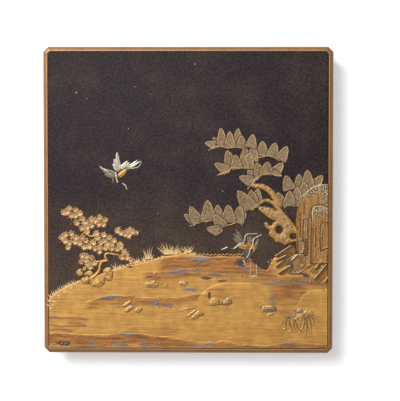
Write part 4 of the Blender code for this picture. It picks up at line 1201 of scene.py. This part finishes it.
# %% Model one leaf of the bush
LEAF_TIPS = 8
select_only()
bpy.ops.mesh.primitive_circle_add(vertices=LEAF_TIPS * 2, radius=1, fill_type="NGON")
leaf = bpy.context.object
for index, point in enumerate(leaf.data.vertices):
    point.co.xy *= (1.0 if index % 4 == 0 else 0.86) if index % 2 == 0 else 0.6
select_faces(leaf, lambda f: True)
bpy.ops.mesh.extrude_region_move(TRANSFORM_OT_translate={"value": (0, 0, 0.75)})
bpy.ops.mesh.inset(thickness=0.09, depth=0)
bpy.ops.transform.translate(value=(0, 0, 0.2))
bpy.ops.mesh.inset(thickness=0.06, depth=0)
bpy.ops.transform.translate(value=(0, 0, -0.12))
bpy.ops.mesh.poke()
bpy.ops.object.mode_set(mode="OBJECT")
for point in leaf.data.vertices:
    if point.co.xy.length < 0.02:
        point.co.z = 0.6
print("leaf points", len(leaf.data.vertices))

# %% Set the leaves and berries
LEAVES = [(70.1, 207.7), (76.2, 209), (64.8, 211.7), (72.1, 214.4), (82.9, 217.8), (77.5, 221.8), (82.9, 227),
          (92.2, 218.4), (100.3, 216.4), (105.6, 219), (92.2, 224.5), (99, 223), (62.8, 236.5), (72.1, 232.5),
          (70.1, 241.9), (68.8, 246.5), (80.2, 241.9), (82.9, 236.5), (104.3, 233.8), (109.7, 236.5),
          (93.6, 241.9), (101.6, 241.9), (112.3, 243.2), (120.4, 243.2), (95.6, 247.9), (118.4, 229.2),
          (130.4, 228.5), (136.4, 231.8), (125.7, 233.2), (124.4, 249.9), (127, 256.6), (82.9, 254.6),
          (86.9, 255.3), (92.2, 256.6), (82.2, 260.6), (90.9, 266)]
FILLERS = [(68, 211), (76, 214.6), (80.6, 212.6), (86, 221.4), (96, 219.6), (87.8, 231), (104, 223.6), (88, 226),
           (66, 240), (76.6, 236.6), (76, 241), (86.4, 239.6), (73.6, 238), (66, 233.6), (98, 237), (104.6, 240),
           (108, 243), (114.6, 239.4), (99.6, 246.6), (106, 247), (112, 247.4), (118, 248), (90, 245.4),
           (121.4, 231.8), (127.4, 230.6), (133, 230.6), (129.6, 234), (121, 246), (126.4, 253), (122.6, 256),
           (86, 259.6), (88.6, 263.4), (95, 262), (97, 232.6), (84.6, 246.4), (100, 250.6), (131, 258.6)]
BERRIES = [(72, 209), (65, 214.7), (69, 217), (71.4, 223.2), (79, 226), (86.7, 219.6), (97, 224), (102, 225),
           (60.7, 240.8), (70, 237.4), (72.7, 238.5), (86, 239), (92.6, 244), (102.8, 244), (97.4, 249.4),
           (124, 247), (125.3, 254.5), (83, 260.7), (93, 256.8), (121, 229), (136, 232.8), (132, 235.3),
           (92, 268.5)]
leaf_gold = powdered("leaf_gold", shade(220, 184, 126), shade(178, 138, 86), rough=0.44, metal=0.3, coarse=900)
leaf_shade = leaf_gold.steps(leaf_gold.attribute("tone"), 0, 1, 0, 0.5)
leaf_gold.colour(leaf_gold.mix(leaf_shade, leaf_gold.tone, shade(146, 106, 62)))
leaves = []
for x, y in FILLERS + LEAVES:
    turn = Matrix.Rotation(dice.uniform(0, math.pi), 4, "Z")
    reach = dice.uniform(4.0, 4.9) * SQUARE
    size = Matrix.Diagonal((reach, reach * 0.86, 1.0 * MM, 1))
    place = Matrix.Translation((*spot(x, y), PANEL_TOP - (0.35 - 0.25 * dice.random()) * MM))
    leaves.append(copy_of(leaf, place @ turn @ size, tone=dice.random()))
bush = joined(leaves)
bush.data.materials.append(leaf_gold.material)
hand_over(bush, "bush_leaves", angle=20)

berry_red = Finish("berry_lacquer", roughness=0.3)
berry_red.colour(berry_red.mix(berry_red.noise(900), shade(150, 34, 36), shade(196, 66, 58)))
select_only()
bpy.ops.mesh.primitive_uv_sphere_add(segments=16, ring_count=10, radius=1)
berry = bpy.context.object
berries = []
for x, y in BERRIES:
    size = Matrix.Diagonal((0.8 * MM, 0.8 * MM, 0.55 * MM, 1))
    berries.append(copy_of(berry, Matrix.Translation((*spot(x, y), PANEL_TOP + 0.75 * MM)) @ size))
berries = joined(berries)
berries.data.materials.append(berry_red.material)
hand_over(berries, "bush_berries", angle=60)

STEMS = [([(119, 253.8), (111.6, 252.6), (106.4, 252.8), (105.6, 256), (107, 259), (103.4, 260), (100.4, 264),
           (99.6, 269), (95, 274.6), (92, 277)], (1.6, 2.4, 3, 3.2, 3.6)),
         ([(96.4, 260.8), (100, 260.4), (104, 260)], (1.4, 2.2, 2.6)), ([(108.6, 260.4), (106, 257)], (1.6, 2.4)),
         ([(85.6, 228), (85.6, 231.4), (88.4, 233.8), (92, 235.2), (96.4, 234)], (1.6, 2, 2.4, 2.2)),
         ([(119, 253.8), (123, 255.6), (125, 258)], (1.6, 1.2)), ([(85.6, 231), (82, 234)], (1.6, 1.0))]
stems = joined([raised_line(path, widths, 1.25) for path, widths in STEMS])
stems.data.materials.append(twig_gold.material)
hand_over(stems, "bush_stems", angle=60)

# %% [markdown]
# Grass stands along the far edge of the shore, in tufts of thin blades. A blade is a
# narrow cone, pressed flat; each tuft gets a few, fanned out. Low leafy marks run
# along the edge between the tufts, and a line of small waves marks the water's edge.

# %% Plant the grass
select_only()
bpy.ops.mesh.primitive_cone_add(vertices=6, radius1=0.5, depth=1, location=(0, 0.5, 0),
                                rotation=(-math.pi / 2, 0, 0))
blade = bpy.context.object
apply_all(blade)
TUFTS = [(171, 252.6, 16, 14, 1.9), (171, 252.2, 11, 9, 2.2), (188.4, 251, 7, 11, 1.3), (148.2, 257.4, 5, 14.5, 0.5),
         (152, 257, 3, 7, 0.9), (144.6, 259, 3, 6.6, 0.9), (138, 260.6, 4, 7, 1), (117.4, 268, 6, 9, 1.1), (135.6, 262, 3, 4, 1.4),
         (194, 252.6, 3, 4, 1.4), (52, 296, 4, 5, 1.1), (55, 293.6, 4, 6, 1.1), (58, 291.6, 4, 6.4, 1), (61.4, 289.6, 4, 6, 1),
         (64.6, 287.8, 4, 6.4, 1), (68, 286, 4, 6, 1), (71.4, 284.6, 4, 6, 1), (75, 283, 4, 6, 1), (50.4, 300, 3, 5, 1.4),
         (53, 304, 3, 4, 1.4)]
LOW_MARKS = [(124, 265.4), (128, 264.4), (131.4, 263), (134.6, 262), (138, 261.4), (141.4, 261.2), (145, 260.4),
             (148.6, 260.4), (152.4, 259.6), (156, 258.6), (159.6, 257.4), (163, 256), (181, 252.4), (185, 252.6), (191, 253.6),
             (48.6, 305), (51, 307.6), (54.4, 301), (59, 295.4), (65, 291), (71.6, 287.6), (79, 281), (116, 269.6), (121, 267)]
blades = []
for x, y, number, height, fan_angle in TUFTS:
    for index in range(number):
        lean = (index / max(1, number - 1) - 0.5) * fan_angle + dice.uniform(-0.1, 0.1)
        tall = height * dice.uniform(0.6, 1.0)
        foot = (x + (index - number / 2) * 0.7, y + 0.6)
        tip = (foot[0] + math.sin(lean) * tall, foot[1] - math.cos(lean) * tall)
        blades.append(copy_of(blade, stretched(foot, tip, 1.5, 0.6, 0.2), tone=dice.random()))
for x, y in LOW_MARKS:
    for lean in (-1.1, -0.4, 0.5, 1.2):
        tip = (x + math.sin(lean) * 2.6, y - math.cos(lean) * 2.4)
        blades.append(copy_of(blade, stretched((x, y), tip, 1.5, 0.8, 0.25), tone=dice.random()))
grass = joined(blades)
grass_gold = powdered("grass_gold", shade(226, 188, 122), shade(196, 156, 96), rough=0.5, metal=0.15)
grass.data.materials.append(grass_gold.material)
hand_over(grass, "shore_grass", angle=60)

ripples = []
for index in range(14):
    x = 190.5 + index * 3.9
    y = 254.2 + dice.uniform(-0.5, 0.5)
    ripples.append(raised_line([(x, y), (x + 1.6, y - 1.3), (x + 3.6, y - 0.1)], (0.6, 1.0, 0.5), 0.6))
ripples = joined(ripples)
ripples.data.materials.append(grass_gold.material)
hand_over(ripples, "water_line", angle=60)

# %% [markdown]
# The shrub at the lower right is drawn with the same fans as the pine, in the gold
# of the shore, opened like a flower. It shows by its relief, with painted highlight
# along the fan rims and painted shade along the edge of each nearer fan.

# %% Set the shrub
SHRUB = [(293.6, 312, 299.6, 318.4, 6.6), (306, 309.6, 304, 318, 6.4), (314, 311.4, 306.4, 317, 6),
         (281, 322.6, 290, 318, 6), (318.6, 319.4, 308.4, 317, 6.4), (281.6, 328.4, 290, 319, 7),
         (317, 327.4, 307.4, 318.6, 7), (287.6, 331.6, 292, 319, 7.4), (310.6, 331.6, 304.6, 319.4, 7.2),
         (293.4, 328.8, 294.4, 317.6, 7), (304.6, 334, 302, 321, 7), (298, 333.6, 299, 320.6, 7),
         (300.8, 329, 300, 317, 7.4)]
shrub_gold = powdered("shrub_gold", shade(200, 150, 72), shade(172, 124, 58), coarse=500)
shrub_tone = shrub_gold.mix(shrub_gold.attribute("tone"), shade(150, 106, 52), shrub_gold.tone)
# Painted highlight on the rims, then painted shade along the edge of each nearer fan.
shrub_rim_highlight = shrub_gold.mix(shrub_gold.steps(shrub_gold.attribute("rim"), 0, 1, 0, 0.6), shrub_tone, shade(214, 170, 92))
shrub_gold.colour(shrub_gold.mix(shrub_gold.attribute("crease_shade"), shrub_rim_highlight, shade(104, 70, 36)))
lay_fans(SHRUB, 0.5, 0.38, 0.06).piece(shrub_gold, "low_shrub")

# %% [markdown]
# Two birds, a flying crane and a standing one, are laid in silver powder that has
# greyed a little, with gold bodies. A feather is one more small model: a grid drawn
# to a point at both ends, with a raised quill. Wings are fans of such feathers;
# necks and legs are raised lines.

# %% Model one feather and fan a wing
select_only()
bpy.ops.mesh.primitive_grid_add(x_subdivisions=10, y_subdivisions=12, size=2)
feather = bpy.context.object
for point in feather.data.vertices:
    along = (point.co.y + 1) / 2
    half = 0.5 * math.sin(math.pi * min(1, 0.08 + 0.92 * along) ** 0.8) ** 0.7 if along < 1 else 0.0
    across = math.sin(point.co.x * math.pi / 2)
    crown = 0.62 + 0.38 * max(0, 1 - abs(across) * 3.5) - 0.1 * abs(across)
    point.co = (across * half, along, -0.6 if abs(across) > 0.999 or along in (0, 1) else crown)


def wing(rows, rise, finish):
    """Feathers from foot to tip, each with its own width, joined to one piece."""
    parts = [copy_of(feather, stretched((a, b), (c, d), width, rise, 0.05 * (i % 3)))
             for i, (a, b, c, d, width) in enumerate(rows)]
    piece = joined(parts)
    piece.data.materials.append(finish.material)
    return piece


greyed = powdered("silver_feathers", shade(224, 214, 198), shade(168, 150, 124), rough=0.38, metal=0.3, coarse=700)
olive = powdered("dull_feathers", shade(150, 136, 104), shade(96, 82, 62), rough=0.44, metal=0.3, coarse=700)
body_gold = powdered("bird_gold", shade(204, 152, 70), shade(158, 108, 52), rough=0.42, metal=0.4, coarse=600)

# %% Lay the flying crane
fly_wings = wing([(118.8, 171.4, 117.6, 150.6, 4.4), (118.6, 170.4, 114.6, 157.6, 4.4), (118.4, 170, 113.2, 162.6, 3.6),
                  (119.8, 168.6, 119.4, 157.6, 3), (120, 168.4, 121.6, 163.8, 3.4), (120.4, 168.6, 128.9, 159.6, 3.8),
                  (122.6, 167.6, 130.8, 161.6, 3.6), (128, 167.2, 138.9, 158.8, 2.6), (129, 168, 142.2, 159.6, 2.4),
                  (103.4, 168.4, 100, 165, 1.8), (109, 171.4, 102.4, 167, 2.4)], 0.85, greyed)
hand_over(fly_wings, "flying_crane_wings", angle=60)
fly_dull = wing([(117, 174, 102.4, 169.6, 4.6), (117, 175, 104.4, 173.6, 4.4), (116.6, 173.6, 106.4, 168.6, 4),
                 (123.4, 168, 131.6, 164, 3.6), (126, 168.4, 136, 164.6, 2.8), (113.2, 177, 114.6, 183.4, 1.6)],
                0.7, olive)
hand_over(fly_dull, "flying_crane_shade", angle=60)
fly_body = wing([(118.6, 176, 128.2, 167.8, 5)], 1.0, body_gold)
hand_over(fly_body, "flying_crane_body", angle=60)
fly_lines = joined([raised_line([(116.2, 171), (116.8, 175), (117.2, 178), (118.2, 181.6)], (1.4, 2.4, 1.8, 2), 0.95),
                    raised_line([(122.8, 182.4), (126, 184.6), (127.4, 188.6)], (1.0, 1.6, 1.0), 0.6),
                    raised_line([(128.4, 168), (134, 167.4), (139.6, 165.4), (142, 161)], (0.8, 1.0, 0.8), 0.8)])
fly_lines.data.materials.append(greyed.material)
hand_over(fly_lines, "flying_crane_lines", angle=60)

# %% Lay the standing crane
stand_lines = joined([
    raised_line([(257.4, 232), (252.8, 232.6), (247.7, 232.8), (245.4, 234.8), (244.7, 237.6), (244, 241.4)],
                (0.8, 1.2, 1.6, 1.4), 1.0),
    raised_line([(243.6, 241.8), (239.9, 242.6), (236.2, 245.6), (233.2, 247.6)], (1.8, 1.9, 1.6, 1.2), 1.1),
    raised_line([(227.4, 245.9), (225, 246.9), (221.2, 248.5)], (1.8, 1.5, 0.8), 0.8),
    raised_line([(261.4, 233.3), (256.9, 235.6), (253.6, 237.9), (252.8, 241.2), (252.1, 244.9), (249.9, 248.6),
                 (249.1, 252), (246.5, 256.6)], (0.8, 1.5, 1.9, 1.7, 1.5), 1.15),
    raised_line([(256.2, 262.6), (256.6, 268), (256.6, 273)], (0.9, 1.1, 1.0), 0.9),
    raised_line([(250.6, 262.6), (250.4, 268), (250.2, 273)], (0.9, 1.0, 1.0), 0.9),
    raised_line([(249, 273.6), (251.4, 275.4), (254, 274.4), (257, 275)], (1.4, 1.2, 1.5), 0.8),
    raised_line([(243, 259), (245, 261.4), (243.6, 264.4)], (1.6, 1.8, 1.2), 0.8)] +
    [raised_line(path, (0.8, 1.2, 0.8), 1.6) for path in SILVER_TOUCHES])
stand_lines.data.materials.append(greyed.material)
hand_over(stand_lines, "standing_crane_lines", angle=60)
stand_wings = wing([(242.4, 242, 235.4, 227.2, 3), (242, 242.4, 233, 231.6, 3), (242, 243, 232.6, 236.6, 3),
                    (243, 243, 238.4, 230, 2.6), (253, 242, 249.4, 234.4, 3), (250, 243, 247.4, 235, 3),
                    (252.6, 244, 256.8, 248.6, 2.4), (253.6, 249, 258.8, 236.6, 3)], 0.7, olive)
hand_over(stand_wings, "standing_crane_wings", angle=60)
stand_body = wing([(238, 244.6, 253.6, 246.6, 4.6), (246, 242, 253, 248, 4.6), (254.6, 243.6, 253.4, 252.4, 2.6)],
                  1.0, body_gold)
hand_over(stand_body, "standing_crane_body", angle=60)
night = powdered("dark_feathers_and_shadow", shade(104, 88, 74), shade(52, 42, 40), rough=0.42, metal=0.2, coarse=700)
# The last row is no feather: it is a dark strip under the neck, a painted shadow.
stand_tail_and_neck_shadow = wing([(247, 247, 240.6, 256.6, 2.6), (248, 247.6, 243.6, 258.6, 2.6), (249, 248, 245.6, 262, 2.6),
                   (246, 257, 242.4, 266, 2.8), (252, 250, 247.6, 262, 2.4), (237.4, 247.6, 228.4, 247.4, 1.6)],
                  0.75, night)
hand_over(stand_tail_and_neck_shadow, "standing_crane_tail_and_neck_shadow", angle=60)

# %% [markdown]
# Coral and malachite beads stand for flowers. Each is a small ball, polished flat on
# top and set half into the lid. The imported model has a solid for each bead; its box
# gives the place and size, so that the finer bead sits exactly where the solid does.

# %% Set the beads
coral = Finish("coral_red", roughness=0.28)
coral.colour(coral.mix(coral.noise(1300), shade(206, 62, 46), shade(236, 112, 92)))
malachite = Finish("malachite_green", roughness=0.28)
malachite.colour(malachite.mix(malachite.noise(1300), shade(34, 122, 88), shade(86, 186, 146)))
select_only()
bpy.ops.mesh.primitive_uv_sphere_add(segments=20, ring_count=12, radius=1)
bead = bpy.context.object
bead_top = 0.82
for point in bead.data.vertices:
    point.co.z = min(point.co.z, bead_top + (point.co.z - bead_top) * 0.35)
for node in sorted(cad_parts):
    if "bead" not in node:
        continue
    low_corner, high_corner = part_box(node)
    centre = (low_corner + high_corner) / 2
    size = (high_corner - low_corner) / 2
    finish, slot_name = (coral, "coral_beads") if node.startswith("coral") else (malachite, "malachite_beads")
    piece = copy_of(bead, Matrix.Translation(centre) @ Matrix.Diagonal((size.x, size.y, size.z, 1)))
    piece.data.materials.append(finish.material)
    hand_over(piece, "set_" + node, angle=60)
    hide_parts(node)

# %% Clear the models and measure
for model in (leaf, berry, blade, feather, bead):
    bpy.data.objects.remove(model)
low_corner, high_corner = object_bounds()
print("visual box", [round(v * 1000, 1) for v in high_corner - low_corner], "mm")
